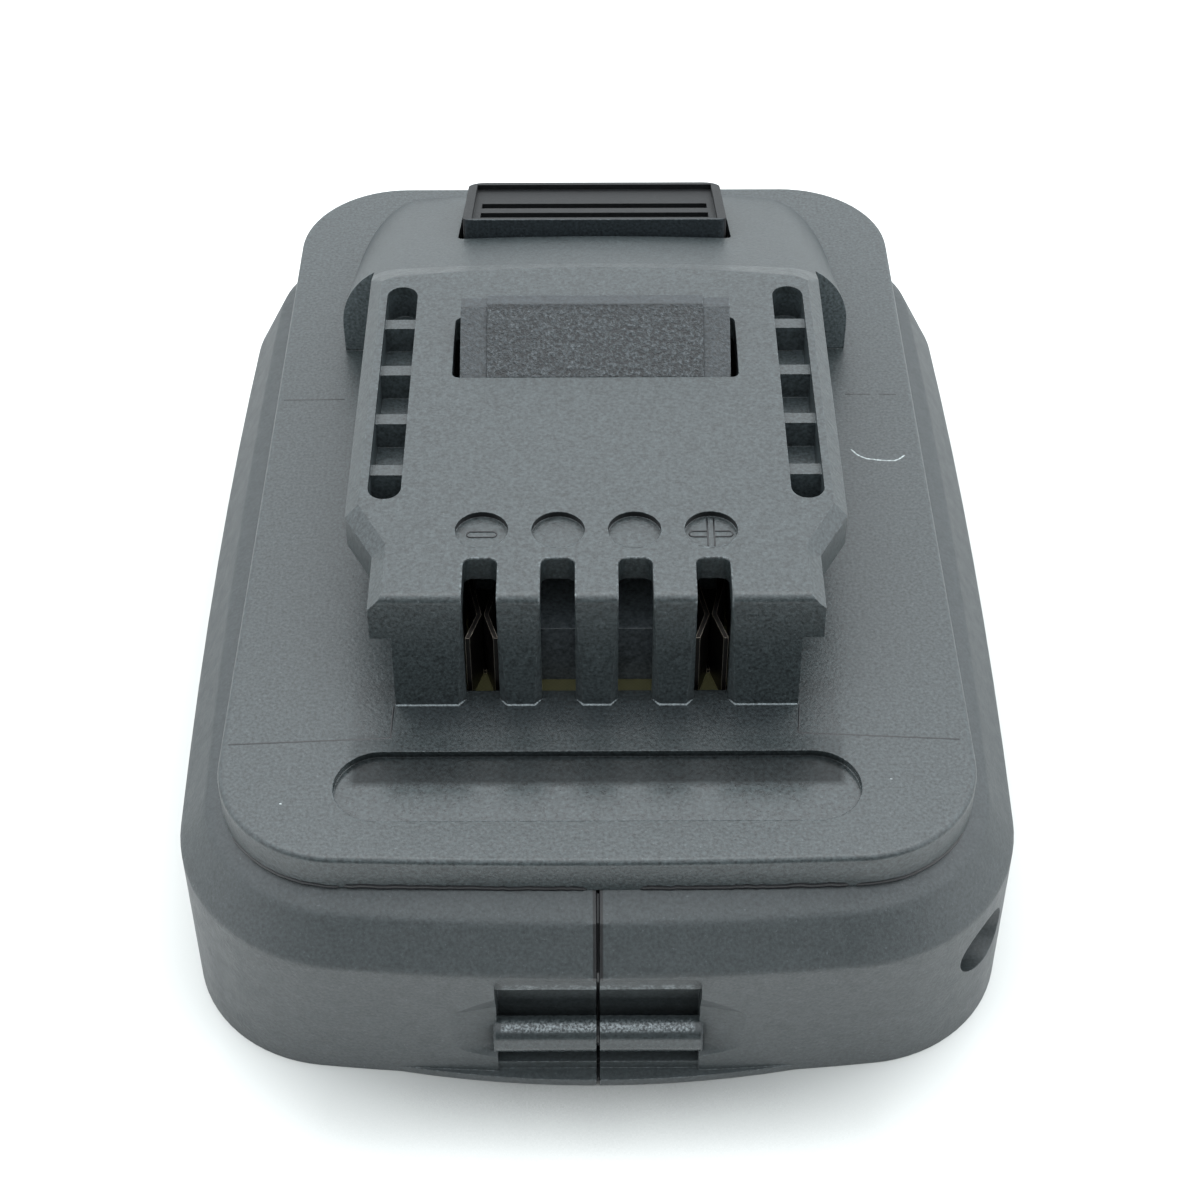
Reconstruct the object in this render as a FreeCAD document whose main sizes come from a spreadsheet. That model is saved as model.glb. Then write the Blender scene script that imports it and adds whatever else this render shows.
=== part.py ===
import FreeCAD, Part
import math
import os
import Sketcher
import PartDesign

# Driving dimensions
# X runs across the adapter, Y from its front wall to its rear, Z up from the rim it rests on.
# Lengths are millimetres and angles are degrees.
dimensions = {
    # lower housing, outer form
    "housing_half_width": 43.44,
    "housing_side_bulge": 0.76,
    "housing_front": 60.9,
    "housing_rear": 59.2,
    "housing_corner_radius": 19.5,
    "housing_bow_radius": 260.0,
    "rear_corner_radius": 16.0,
    "rear_bow_radius": 110.0,
    "rim_inset": 0.45,
    "rim_corner_radius": 16.0,
    "crease_inset": 3.1,
    "top_inset": 6.1,
    "shoulder_height": 17.3,
    "crease_height": 21.9,
    "housing_height": 23.4,
    "seam_gap": 0.36,
    # upper cover, plate and deck
    "plate_half_width": 38.4,
    "plate_rear_half_width": 37.8,
    "plate_front": 54.75,
    "plate_rear": 61.7,
    "plate_corner_radius": 13.0,
    "plate_bow_radius": 700.0,
    "plate_thickness": 4.1,
    "plate_edge_round": 0.6,
    "deck_height": 14.5,
    "deck_front": 33.5,
    "deck_front_lean": 0.8,
    "deck_front_round": 0.9,
    "deck_fold": 23.35,
    "slope_angle": 21.1,
    "slope_lead": 8.0,
    "web_half_width": 20.85,
    "rail_thickness": 5.3,
    "rail_nose_half_width": 23.0,
    "rail_half_width": 26.25,
    "rail_nose_end": 25.0,
    "rail_flare_end": 18.9,
    "rail_chamfer": 1.5,
    "hump_front": 26.5,
    "hump_half_width": 30.5,
    "hump_corner_radius": 10.0,
    "hump_edge_round": 8.0,
    "hump_crown_radius": 400.0,
    "deck_wall": 2.5,
    "deck_skin": 2.9,
    # contact slots, marks and vents in the deck
    "slot_pitch": 7.87,
    "slot_width": 3.5,
    "slot_end": 26.8,
    "slot_corner": 0.9,
    "slot_flare": 0.8,
    "slot_wall": 2.0,
    "mark_radius": 2.75,
    "mark_depth": 0.7,
    "mark_place": 22.5,
    "vent_place": 22.2,
    "vent_width": 3.5,
    "vent_front": 17.7,
    "vent_rear": 19.5,
    "vent_depth": 4.2,
    "vent_rib": 1.7,
    "vent_rib_drop": 0.9,
    "vent_rib_pitch": 8.53,
    "vent_first_rib": 12.0,
    "pill_place": 44.7,
    "pill_length": 53.0,
    "pill_width": 9.3,
    "pill_depth": 0.8,
    # release latch
    "hook_half_width": 15.1,
    "hook_front": 3.8,
    "hook_rear": 12.8,
    "hook_crest": 1.7,
    "hook_rise": 3.7,
    "hook_dip": 0.9,
    "hook_border": 3.0,
    "hook_border_drop": 0.35,
    "hook_shell": 2.2,
    "window_gap": 0.8,
    "window_front_gap": 1.2,
    "window_corner_radius": 0.8,
    "pad_half_width": 16.25,
    "pad_front": 38.1,
    "pad_rear": 56.0,
    "pad_rise": 2.25,
    "pad_angle": 19.8,
    "pad_gap": 0.6,
    "pad_rim": 1.1,
    "pad_rear_round": 2.2,
    "pad_recess": 0.8,
    "pad_groove_width": 2.2,
    "pad_groove_depth": 0.7,
    "pad_groove_inset": 2.0,
    "pad_groove_first": 3.5,
    "pad_groove_pitch": 4.3,
    "pad_well_gap": 1.0,
    "latch_plate_bottom": 25.5,
    "latch_plate_thickness": 3.0,
    "latch_plate_half_width": 17.0,
    "latch_plate_front": 8.0,
    "latch_plate_shoulder": 46.0,
    "latch_travel": 4.2,
    "stop_gap": 0.3,
    "stop_front": 15.5,
    "stop_length": 8.5,
    "stop_width": 2.75,
    # latch springs
    "spring_place_x": 10.0,
    "spring_place_y": 26.0,
    "spring_outer_radius": 3.0,
    "spring_wire": 0.7,
    "spring_turns": 5,
    "spigot_length": 3.0,
    "spigot_gap": 0.4,
    # inside of the housing
    "cavity_half_width": 34.5,
    "cavity_front": 36.0,
    "cavity_rear": 51.5,
    "cavity_corner_radius": 8.0,
    "floor_height": 12.5,
    # pack bay in the underside
    "bay_front": 38.0,
    "bay_neck_half_width": 27.0,
    "bay_head_half_width": 31.0,
    "bay_lip": 3.0,
    "bay_height": 10.0,
    "catch_half_width": 10.0,
    "catch_front": 31.5,
    "catch_length": 8.0,
    "catch_depth": 5.5,
    "catch_wall": 2.0,
    # front window, dish and lip
    "window_half_width": 10.3,
    "window_bottom": 2.0,
    "window_top": 13.9,
    "window_depth": 4.3,
    "window_rebate_height": 2.9,
    "window_rebate_depth": 1.2,
    "window_rebate_round": 1.2,
    "strip_recess": 0.5,
    "bar_radius": 2.3,
    "bar_height": 5.6,
    "dish_half_width": 17.0,
    "dish_depth": 2.6,
    "dish_bottom": 3.0,
    "dish_round": 2.4,
    "dish_top": 10.5,
    "lip_front": 61.5,
    "lip_half_width": 20.5,
    "lip_thickness": 0.9,
    # screws
    "hole_clearance": 0.05,
    "screw_radius": 1.5,
    "screw_head_radius": 2.7,
    "screw_head_height": 2.2,
    "counterbore_radius": 3.0,
    "boss_radius": 3.2,
    "boss_gap": 0.3,
    "boss_seat": 15.0,
    "front_screw_x": 28.0,
    "front_screw_y": 44.8,
    "rear_screw_x": 22.0,
    "rear_screw_y": 40.0,
    "cover_screw_length": 9.5,
    "tunnel_radius": 3.25,
    "tunnel_bottom": 13.5,
    "side_margin": 5.0,
    "side_screw_reach": 12.0,
    "side_front_y": 51.8,
    "side_front_height": 11.5,
    "side_rear_y": 50.6,
    "side_rear_height": 14.9,
    "side_boss_radius": 4.4,
    "side_boss_reach": 14.0,
    # circuit board
    "board_half_width": 17.5,
    "board_thickness": 1.6,
    "board_drop": 1.5,
    "board_gap": 0.3,
    "board_rear": 6.5,
    "board_screw_y": 10.0,
    "board_screw_radius": 1.1,
    "board_screw_head_radius": 2.2,
    "board_screw_head_height": 1.8,
    "board_screw_length": 8.5,
    "board_boss_radius": 2.6,
    # tulip contacts
    "contact_front": 30.8,
    "contact_rear": 15.0,
    "contact_pinch": 27.3,
    "contact_straight_end": 21.0,
    "contact_height": 8.5,
    "contact_half_width": 1.9,
    "contact_metal": 0.5,
    "contact_pinch_gap": 0.24,
    "contact_leg_radius": 0.5,
    "contact_leg_drop": 0.8,
    "contact_front_leg": 26.5,
    "contact_rear_leg": 17.0,
    # carrier that stands round the contacts on the board
    "carrier_half_width": 16.2,
    "carrier_front": 28.4,
    "carrier_height": 7.5,
    "carrier_wall": 1.1,
    "carrier_gap": 0.4,
    "peg_place": 20.0,
    "peg_radius": 0.9,
    # terminal block, blades and leads
    "block_half_width": 20.0,
    "block_rear": 24.0,
    "block_height": 6.5,
    "block_gap": 0.3,
    "block_screw_x": 7.0,
    "block_screw_y": 31.0,
    "block_screw_radius": 1.2,
    "block_screw_head_radius": 2.4,
    "block_screw_head_height": 2.0,
    "block_screw_tip": 14.0,
    "block_boss_radius": 3.0,
    "blade_x": 14.0,
    "blade_thickness": 0.8,
    "blade_width": 5.0,
    "blade_front": 34.0,
    "blade_rear": 12.0,
    "blade_edge": 0.5,
    "tab_length": 5.0,
    "tab_top": 17.0,
    "terminal_half_width": 1.2,
    "terminal_half_length": 3.2,
    "terminal_bottom": 13.2,
    "terminal_top": 18.0,
    "barrel_radius": 1.5,
    "barrel_height": 1.6,
    "lead_radius": 1.0,
    "lead_bend": 1.6,
    "lead_run": 9.5,
    "lead_drop": 3.0,
}

doc = FreeCAD.newDocument("battery_adapter")
sheet = doc.addObject("Spreadsheet::Sheet", "sizes")


class Size:
    # a number together with the sheet expression that gives it, kept through arithmetic
    def __init__(self, value, text):
        self.value = float(value)
        self.text = text

    def __add__(self, other):
        other = as_size(other)
        return Size(self.value + other.value, f"({self.text} + {other.text})")

    def __radd__(self, other):
        return as_size(other) + self

    def __sub__(self, other):
        other = as_size(other)
        return Size(self.value - other.value, f"({self.text} - {other.text})")

    def __rsub__(self, other):
        return as_size(other) - self

    def __mul__(self, other):
        other = as_size(other)
        return Size(self.value * other.value, f"({self.text} * {other.text})")

    def __rmul__(self, other):
        return as_size(other) * self

    def __truediv__(self, other):
        other = as_size(other)
        return Size(self.value / other.value, f"({self.text} / {other.text})")

    def __neg__(self):
        return Size(-self.value, f"(-1 * {self.text})")


class Sizes:
    # the driving dimensions as attributes
    pass


def as_size(number):
    if isinstance(number, Size):
        return number
    return Size(number, repr(float(number)))


def root_of(size):
    return Size(math.sqrt(size.value), f"sqrt({size.text})")


def tangent_of(angle):
    return Size(math.tan(math.radians(angle.value)), f"tan({angle.text} * 1 deg)")


def cosine_of(angle):
    return Size(math.cos(math.radians(angle.value)), f"cos({angle.text} * 1 deg)")


def sine_of(angle):
    return Size(math.sin(math.radians(angle.value)), f"sin({angle.text} * 1 deg)")


def fill_sheet():
    sizes = Sizes()
    for row, (name, value) in enumerate(dimensions.items(), start=1):
        sheet.set(f"A{row}", name)
        sheet.set(f"B{row}", str(value))
        sheet.setAlias(f"B{row}", name)
        setattr(sizes, name, Size(value, f"sizes.{name}"))
    doc.recompute()
    return sizes


size = fill_sheet()
zero = as_size(0)

# Levels and places that follow from the driving dimensions
plate_top = size.housing_height + size.plate_thickness
deck_top = plate_top + size.deck_height
deck_underside = deck_top - size.deck_skin
rail_bottom = deck_top - size.rail_thickness
slope_fall = tangent_of(size.slope_angle)
hook_top = deck_top + size.hook_rise
pad_front_top = deck_top - (size.pad_front - size.deck_fold) * slope_fall + size.pad_rise
latch_plate_top = size.latch_plate_bottom + size.latch_plate_thickness
web_inner = size.web_half_width - size.deck_wall
slot_wall_rear = size.deck_front - size.slot_wall
pad_space_rear = size.pad_rear + size.pad_gap
board_top = plate_top - size.board_drop
board_bottom = board_top - size.board_thickness
block_bottom = size.bay_height - size.block_height
side_right = size.housing_half_width + size.side_margin
outer_slot_x = 1.5 * size.slot_pitch
inner_slot_x = 0.5 * size.slot_pitch


# Sketch helpers
def new_body(label):
    body = doc.addObject("PartDesign::Body", label)
    body.Label = label
    return body


def new_sketch(body, name, role, offset=None):
    sketch = body.newObject("Sketcher::SketchObject", f"{body.Name}_{name}")
    planes = [item for item in body.Origin.OriginFeatures if item.Role == role]
    sketch.AttachmentSupport = (planes[0], "")
    sketch.MapMode = "FlatFace"
    if offset is not None:
        sketch.setExpression("AttachmentOffset.Base.z", offset.text)
    return sketch


def arc_through(start, end, radius, turn):
    # turn is 1 where the arc runs anticlockwise from start to end and -1 where clockwise
    chord = end - start
    half = chord.Length / 2
    rise = math.sqrt(max(radius * radius - half * half, 0.0))
    across = FreeCAD.Vector(-chord.y, chord.x, 0).normalize()
    centre = (start + end) * 0.5 + across * (rise * turn)
    middle = centre - across * (radius * turn)
    return Part.Arc(start, middle, end)


def bind(sketch, kind, places, expression):
    number = sketch.addConstraint(Sketcher.Constraint(kind, *places, expression.value))
    sketch.setExpression(f"Constraints[{number}]", expression.text)


def split_half_rounds(points, arcs):
    # a half circle is drawn as two quarters, because its two ends alone do not fix its centre
    all_points = []
    all_arcs = {}
    for number, (x, y) in enumerate(points):
        next_x, next_y = points[(number + 1) % len(points)]
        all_points.append((x, y))
        if number not in arcs:
            continue
        radius, turn = arcs[number]
        all_arcs[len(all_points) - 1] = (radius, turn)
        chord = math.hypot(next_x.value - x.value, next_y.value - y.value)
        if abs(chord - 2 * as_size(radius).value) < 1e-6:
            all_points.append(((x + next_x) / 2 + (next_y - y) * (turn / 2),
                               (y + next_y) / 2 - (next_x - x) * (turn / 2)))
            all_arcs[len(all_points) - 1] = (radius, turn)
    return all_points, all_arcs


def draw_loop(sketch, points, arcs=None):
    # a closed loop of lines; arcs maps the number of an edge to its radius and turn
    points = [(as_size(x), as_size(y)) for x, y in points]
    points, arcs = split_half_rounds(points, arcs or {})
    corners = [FreeCAD.Vector(x.value, y.value, 0) for x, y in points]
    count = len(corners)
    edges = []
    for number in range(count):
        start = corners[number]
        end = corners[(number + 1) % count]
        if number in arcs:
            radius, turn = arcs[number]
            index = sketch.addGeometry(arc_through(start, end, as_size(radius).value, turn), False)
            first = 1 if sketch.getPoint(index, 1).distanceToPoint(start) < 1e-6 else 2
        else:
            index = sketch.addGeometry(Part.LineSegment(start, end), False)
            first = 1
        edges.append((index, first))
    for number in range(count):
        index, first = edges[number]
        after, after_first = edges[(number + 1) % count]
        sketch.addConstraint(Sketcher.Constraint("Coincident", index, 3 - first, after, after_first))
        bind(sketch, "DistanceX", (-1, 1, index, first), points[number][0])
        bind(sketch, "DistanceY", (-1, 1, index, first), points[number][1])
        if number in arcs:
            bind(sketch, "Radius", (index,), as_size(arcs[number][0]))


def draw_box(sketch, low_x, high_x, low_y, high_y, round_corner=None):
    if round_corner is None:
        draw_loop(sketch, [(low_x, low_y), (high_x, low_y), (high_x, high_y), (low_x, high_y)])
        return
    r = round_corner
    points = [
        (low_x + r, low_y), (high_x - r, low_y), (high_x, low_y + r), (high_x, high_y - r),
        (high_x - r, high_y), (low_x + r, high_y), (low_x, high_y - r), (low_x, low_y + r),
    ]
    draw_loop(sketch, points, {1: (r, 1), 3: (r, 1), 5: (r, 1), 7: (r, 1)})


def draw_circle(sketch, x, y, radius):
    x = as_size(x)
    y = as_size(y)
    circle = Part.Circle(FreeCAD.Vector(x.value, y.value, 0), FreeCAD.Vector(0, 0, 1), radius.value)
    index = sketch.addGeometry(circle, False)
    bind(sketch, "DistanceX", (-1, 1, index, 3), x)
    bind(sketch, "DistanceY", (-1, 1, index, 3), y)
    bind(sketch, "Radius", (index,), radius)


def touch_point(centre_x, centre_y, radius, along_x, along_y, length):
    # the point of a circle that lies in the given direction from its centre
    return centre_x + radius * along_x / length, centre_y + radius * along_y / length


def draw_plate_outline(sketch):
    # the front edge is a shallow arc and the sides draw together a little towards the rear
    corner = size.plate_corner_radius
    bow = size.plate_bow_radius
    bow_centre = bow - size.plate_front
    inner = bow - corner
    corner_x = size.plate_half_width - corner
    corner_drop = root_of(inner * inner - corner_x * corner_x)
    corner_y = bow_centre - corner_drop
    rear_x = size.plate_rear_half_width - corner
    rear_y = size.plate_rear - corner
    draw_in = corner_x - rear_x
    run = rear_y - corner_y
    length = root_of(draw_in * draw_in + run * run)
    right = [
        touch_point(zero, bow_centre, bow, corner_x, -corner_drop, inner),
        touch_point(corner_x, corner_y, corner, run, draw_in, length),
        touch_point(rear_x, rear_y, corner, run, draw_in, length),
        (rear_x, size.plate_rear),
    ]
    left = [(-x, y) for x, y in reversed(right)]
    arcs = {0: (corner, 1), 2: (corner, 1), 4: (corner, 1), 6: (corner, 1), 7: (bow, 1)}
    draw_loop(sketch, right + left, arcs)


def draw_housing_outline(sketch, inset, corner):
    # front, sides and rear are shallow arcs, each tangent to the corner arcs beside it
    rear_corner = size.rear_corner_radius - inset
    front_x = size.housing_half_width - inset - corner
    front_bow = size.housing_bow_radius - inset
    front_inner = front_bow - corner
    front_drop = root_of(front_inner * front_inner - front_x * front_x)
    front_centre = size.housing_bow_radius - size.housing_front
    rear_x = size.housing_half_width - size.rear_corner_radius
    rear_inner = size.rear_bow_radius - rear_corner
    rear_drop = root_of(rear_inner * rear_inner - rear_x * rear_x)
    rear_centre = size.housing_rear - size.rear_bow_radius
    front_y = front_centre - front_drop
    rear_y = rear_centre + rear_drop

    # the sides are fullest between the corner centres, by the bulge
    bulge = size.housing_side_bulge
    length = rear_y - front_y
    to_front = length / 2 + bulge * (rear_corner - corner) / length
    to_rear = length - to_front
    front_reach = (to_front * to_front + bulge * bulge) / (2 * bulge)
    side_bow = front_reach + corner
    rear_reach = side_bow - rear_corner

    front = touch_point(zero, front_centre, front_bow, front_x, -front_drop, front_inner)
    front_side = touch_point(front_x, front_y, corner, front_reach - bulge, -to_front, front_reach)
    rear_side = touch_point(rear_x, rear_y, rear_corner, rear_reach - bulge, to_rear, rear_reach)
    rear = touch_point(zero, rear_centre, size.rear_bow_radius, rear_x, rear_drop, rear_inner)
    right = [front, front_side, rear_side, rear]
    left = [(-x, y) for x, y in reversed(right)]
    arcs = {0: (corner, 1), 1: (side_bow, 1), 2: (rear_corner, 1), 3: (size.rear_bow_radius, 1),
            4: (rear_corner, 1), 5: (side_bow, 1), 6: (corner, 1), 7: (front_bow, 1)}
    draw_loop(sketch, right + left, arcs)


# Feature helpers
def volume_of(body):
    return body.Shape.Volume if not body.Shape.isNull() else 0.0


def add_pad(body, sketch, length, both_ways=False, reverse=False):
    before = volume_of(body)
    pad = body.newObject("PartDesign::Pad", f"{sketch.Name}_pad")
    pad.Profile = sketch
    pad.setExpression("Length", length.text)
    if both_ways:
        pad.SideType = "Symmetric"
    pad.Reversed = reverse
    doc.recompute()
    if volume_of(body) <= before:
        raise ValueError(f"{pad.Name} adds nothing")
    return pad


def cut_pocket(body, sketch, length, both_ways=False, reverse=False):
    before = volume_of(body)
    pocket = body.newObject("PartDesign::Pocket", f"{sketch.Name}_pocket")
    pocket.Profile = sketch
    pocket.setExpression("Length", length.text)
    if both_ways:
        pocket.SideType = "Symmetric"
    pocket.Reversed = reverse
    doc.recompute()
    if volume_of(body) >= before:
        raise ValueError(f"{pocket.Name} cuts nothing")
    return pocket


def repeat_row(body, feature, axis_sketch, axis, step, count):
    before = volume_of(body)
    pattern = body.newObject("PartDesign::LinearPattern", f"{feature.Name}_row")
    pattern.Originals = [feature]
    pattern.Direction = (axis_sketch, [axis])
    pattern.setExpression("Length", (step * (count - 1)).text)
    pattern.Occurrences = count
    body.Tip = pattern
    doc.recompute()
    if abs(volume_of(body) - before) < 1e-6:
        raise ValueError(f"{pattern.Name} changes nothing")
    return pattern


def edges_where(shape, test):
    names = []
    for number, edge in enumerate(shape.Edges, start=1):
        points = [vertex.Point for vertex in edge.Vertexes]
        middle = edge.valueAt((edge.FirstParameter + edge.LastParameter) / 2)
        if points and test(points, middle):
            names.append(f"Edge{number}")
    if not names:
        raise ValueError("no edge fits the test")
    return names


def dress_edges(body, kind, amount_name, amount, test):
    base = body.Tip
    feature = body.newObject(f"PartDesign::{kind}", f"{body.Name}_{amount_name}")
    feature.Base = (base, edges_where(base.Shape, test))
    feature.setExpression("Radius" if kind == "Fillet" else "Size", amount.text)
    body.Tip = feature
    doc.recompute()
    return feature


def at_level(points, level):
    return all(abs(point.z - level.value) < 1e-4 for point in points)


def cylinder(name, radius, length, x, y, z, axis="z"):
    piece = doc.addObject("Part::Cylinder", name)
    piece.setExpression("Radius", radius.text)
    piece.setExpression("Height", length.text)
    turns = {"z": (0, 0, 1, 0), "x": (0, 1, 0, 90), "-x": (0, 1, 0, -90)}
    a, b, c, angle = turns[axis]
    piece.Placement.Rotation = FreeCAD.Rotation(FreeCAD.Vector(a, b, c), angle)
    piece.setExpression("Placement.Base.x", as_size(x).text)
    piece.setExpression("Placement.Base.y", as_size(y).text)
    piece.setExpression("Placement.Base.z", as_size(z).text)
    return piece


def block(name, low_x, high_x, low_y, high_y, low_z, high_z):
    piece = doc.addObject("Part::Box", name)
    low = [as_size(value) for value in (low_x, low_y, low_z)]
    high = [as_size(value) for value in (high_x, high_y, high_z)]
    for side, first, last in zip(("Length", "Width", "Height"), low, high):
        piece.setExpression(side, (last - first).text)
    for axis, first in zip("xyz", low):
        piece.setExpression(f"Placement.Base.{axis}", first.text)
    return piece


def join(name, pieces):
    joined = doc.addObject("Part::MultiFuse", name)
    joined.Shapes = pieces
    return joined


def cut_away(name, base, tool):
    cut = doc.addObject("Part::Cut", name)
    cut.Base = base
    cut.Tool = tool
    return cut


def group_solids(label, pieces):
    group = doc.addObject("Part::Compound", label)
    group.Label = label
    group.Links = pieces
    return group


# Upper cover: plate, T-shaped deck with side rails, rear hump, and the openings in them
def make_upper_cover():
    body = new_body("upper_cover")

    rails = new_sketch(body, "rails", "XY_Plane", rail_bottom)
    nose, wide = size.rail_nose_half_width, size.rail_half_width
    rail_rear = size.hump_front + 3.5
    points = [
        (-nose, -size.deck_front), (nose, -size.deck_front), (nose, -size.rail_nose_end),
        (wide, -size.rail_flare_end), (wide, rail_rear), (-wide, rail_rear),
        (-wide, -size.rail_flare_end), (-nose, -size.rail_nose_end),
    ]
    draw_loop(rails, points)
    add_pad(body, rails, size.rail_thickness)
    dress_edges(body, "Chamfer", "rail_edge", size.rail_chamfer, is_rail_edge)

    web = new_sketch(body, "web", "XY_Plane", plate_top)
    draw_box(web, -size.web_half_width, size.web_half_width, -size.deck_front, rail_rear)
    add_pad(body, web, size.deck_height)

    lean = new_sketch(body, "front_lean", "YZ_Plane")
    front = -size.deck_front
    above = deck_top + 1
    over = front + size.deck_front_lean * (size.deck_height + 1) / size.deck_height
    draw_loop(lean, [(front, plate_top), (over, above), (front - 1, above), (front - 1, plate_top)])
    cut_pocket(body, lean, 4 * size.rail_half_width, both_ways=True)
    dress_edges(body, "Fillet", "deck_front_edge", size.deck_front_round, is_deck_front_edge)

    hump = new_sketch(body, "hump", "XY_Plane", plate_top - 0.5)
    half, r = size.hump_half_width, size.hump_corner_radius
    rear = size.plate_rear - size.plate_edge_round - 0.1
    points = [
        (-half, size.hump_front), (half, size.hump_front), (half, rear - r),
        (half - r, rear), (r - half, rear), (-half, rear - r),
    ]
    draw_loop(hump, points, {2: (r, 1), 4: (r, 1)})
    add_pad(body, hump, size.deck_height + 0.5)
    cut_slope(body)

    plate = new_sketch(body, "plate", "XY_Plane", size.housing_height)
    draw_plate_outline(plate)
    add_pad(body, plate, size.plate_thickness)
    dress_edges(body, "Fillet", "plate_edge", size.plate_edge_round, is_plate_edge)

    hollow_cover(body)
    cut_deck_marks(body)
    add_cover_bosses(body)
    return body


def is_rail_edge(points, middle):
    return at_level(points, deck_top) and abs(middle.x) > size.rail_nose_half_width.value - 0.01


def is_deck_front_edge(points, middle):
    flat = at_level(points, deck_top)
    return flat and middle.y < -size.deck_front.value + size.deck_front_lean.value + 0.01


def is_plate_edge(points, middle):
    inside_hump = abs(middle.x) < size.hump_half_width.value + 0.05
    inside = inside_hump and -size.deck_front.value - 0.05 < middle.y < size.plate_rear.value - 0.3
    return at_level(points, plate_top) and not inside


def cut_slope(body):
    # the section of the slope, a flat crown with rounded edges, stands square to the slope and
    # starts in the air in front of the fold, so that one cut gives the fold, the slope and its edges
    lead = size.slope_lead
    half = size.hump_half_width
    r = size.hump_edge_round
    crown = size.hump_crown_radius
    section = new_sketch(body, "slope", "XZ_Plane", lead * cosine_of(size.slope_angle) - size.deck_fold)
    section.setExpression("AttachmentOffset.Base.y",
                          (deck_top + lead * sine_of(size.slope_angle)).text)
    section.AttachmentOffset.Rotation = FreeCAD.Rotation(FreeCAD.Vector(-1, 0, 0),
                                                         size.slope_angle.value)
    section.setExpression("AttachmentOffset.Rotation.Angle", size.slope_angle.text)
    edge_x = half - r
    inner = crown - r
    edge_level = root_of(inner * inner - edge_x * edge_x) - crown
    touch_x = edge_x * crown / inner
    touch_level = (edge_level + crown) * crown / inner - crown
    above = size.deck_height + lead
    points = [
        (-half, edge_level), (-touch_x, touch_level), (touch_x, touch_level), (half, edge_level),
        (half + 3, edge_level), (half + 3, above), (-half - 3, above), (-half - 3, edge_level),
    ]
    draw_loop(section, points, {0: (r, -1), 1: (crown, -1), 2: (r, -1)})
    run = (size.plate_rear - size.deck_fold) / cosine_of(size.slope_angle) + 1.5 * lead
    cut_pocket(body, section, run)


def hollow_cover(body):
    # the space under the deck and the slope, open at the underside of the plate
    inside = new_sketch(body, "inside", "YZ_Plane")
    skin_drop = size.deck_wall / cosine_of(size.slope_angle)
    bend = size.deck_fold - (skin_drop - size.deck_skin) / slope_fall
    rear_top = deck_top - skin_drop - (pad_space_rear - size.deck_fold) * slope_fall
    below = size.housing_height - 1
    points = [
        (-slot_wall_rear, below), (pad_space_rear, below), (pad_space_rear, rear_top),
        (bend, deck_underside), (-slot_wall_rear, deck_underside),
    ]
    draw_loop(inside, points)
    cut_pocket(body, inside, 2 * web_inner, both_ways=True)

    hook_window = new_sketch(body, "hook_window", "XY_Plane", deck_top + 1)
    across = size.hook_half_width + size.window_gap
    draw_box(hook_window, -across, across, size.hook_front - size.window_front_gap,
             size.hook_rear + size.window_gap, size.window_corner_radius)
    cut_pocket(body, hook_window, size.deck_skin + 2)

    pad_opening = new_sketch(body, "pad_opening", "XY_Plane", deck_top)
    across = size.pad_half_width + size.pad_gap
    draw_box(pad_opening, -across, across, size.pad_front - size.pad_gap, pad_space_rear,
             size.window_corner_radius)
    cut_pocket(body, pad_opening, size.deck_height + 2)

    slot = new_sketch(body, "contact_slot", "XY_Plane", deck_top + 1)
    half = size.slot_width / 2
    r = size.slot_corner
    left = -outer_slot_x
    front = -size.deck_front
    points = [
        (left + half - r, -size.slot_end), (left - half + r, -size.slot_end),
        (left - half, -size.slot_end - r), (left - half, front + size.slot_flare),
        (left - half - size.slot_flare, front), (left - half - size.slot_flare, front - 1),
        (left + half + size.slot_flare, front - 1), (left + half + size.slot_flare, front),
        (left + half, front + size.slot_flare), (left + half, -size.slot_end - r),
    ]
    draw_loop(slot, points, {1: (r, 1), 9: (r, 1)})
    cut = cut_pocket(body, slot, size.deck_height + 1)
    repeat_row(body, cut, slot, "H_Axis", size.slot_pitch, 4)


def cut_deck_marks(body):
    mark = new_sketch(body, "mark", "XY_Plane", deck_top)
    draw_circle(mark, -outer_slot_x, -size.mark_place, size.mark_radius)
    cut = cut_pocket(body, mark, size.mark_depth)
    repeat_row(body, cut, mark, "H_Axis", size.slot_pitch, 4)

    vents = new_sketch(body, "vents", "XY_Plane", deck_top)
    half = size.vent_width / 2
    for side in (1, -1):
        low, high = side * size.vent_place - half, side * size.vent_place + half
        points = [
            (low, half - size.vent_front), (high, half - size.vent_front),
            (high, size.vent_rear - half), (low, size.vent_rear - half),
        ]
        draw_loop(vents, points, {0: (half, 1), 2: (half, 1)})
    cut_pocket(body, vents, size.vent_depth)

    ribs = new_sketch(body, "vent_ribs", "XY_Plane", deck_top - size.vent_depth)
    grip = 0.2
    for side in (1, -1):
        low, high = side * size.vent_place - half - grip, side * size.vent_place + half + grip
        draw_box(ribs, low, high, -size.vent_first_rib - size.vent_rib / 2,
                 -size.vent_first_rib + size.vent_rib / 2)
    rib = add_pad(body, ribs, size.vent_depth - size.vent_rib_drop)
    repeat_row(body, rib, ribs, "V_Axis", size.vent_rib_pitch, 4)

    pill = new_sketch(body, "pill", "XY_Plane", plate_top)
    half = size.pill_width / 2
    reach = size.pill_length / 2 - half
    points = [
        (-reach, -size.pill_place - half), (reach, -size.pill_place - half),
        (reach, -size.pill_place + half), (-reach, -size.pill_place + half),
    ]
    draw_loop(pill, points, {1: (half, 1), 3: (half, 1)})
    cut_pocket(body, pill, size.pill_depth)


def cover_screw_places():
    front = [(side * size.front_screw_x, -size.front_screw_y) for side in (1, -1)]
    rear = [(side * size.rear_screw_x, size.rear_screw_y) for side in (1, -1)]
    return front, rear


def board_screw_places():
    return [(side * size.slot_pitch, -size.board_screw_y) for side in (1, -1)]


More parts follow.
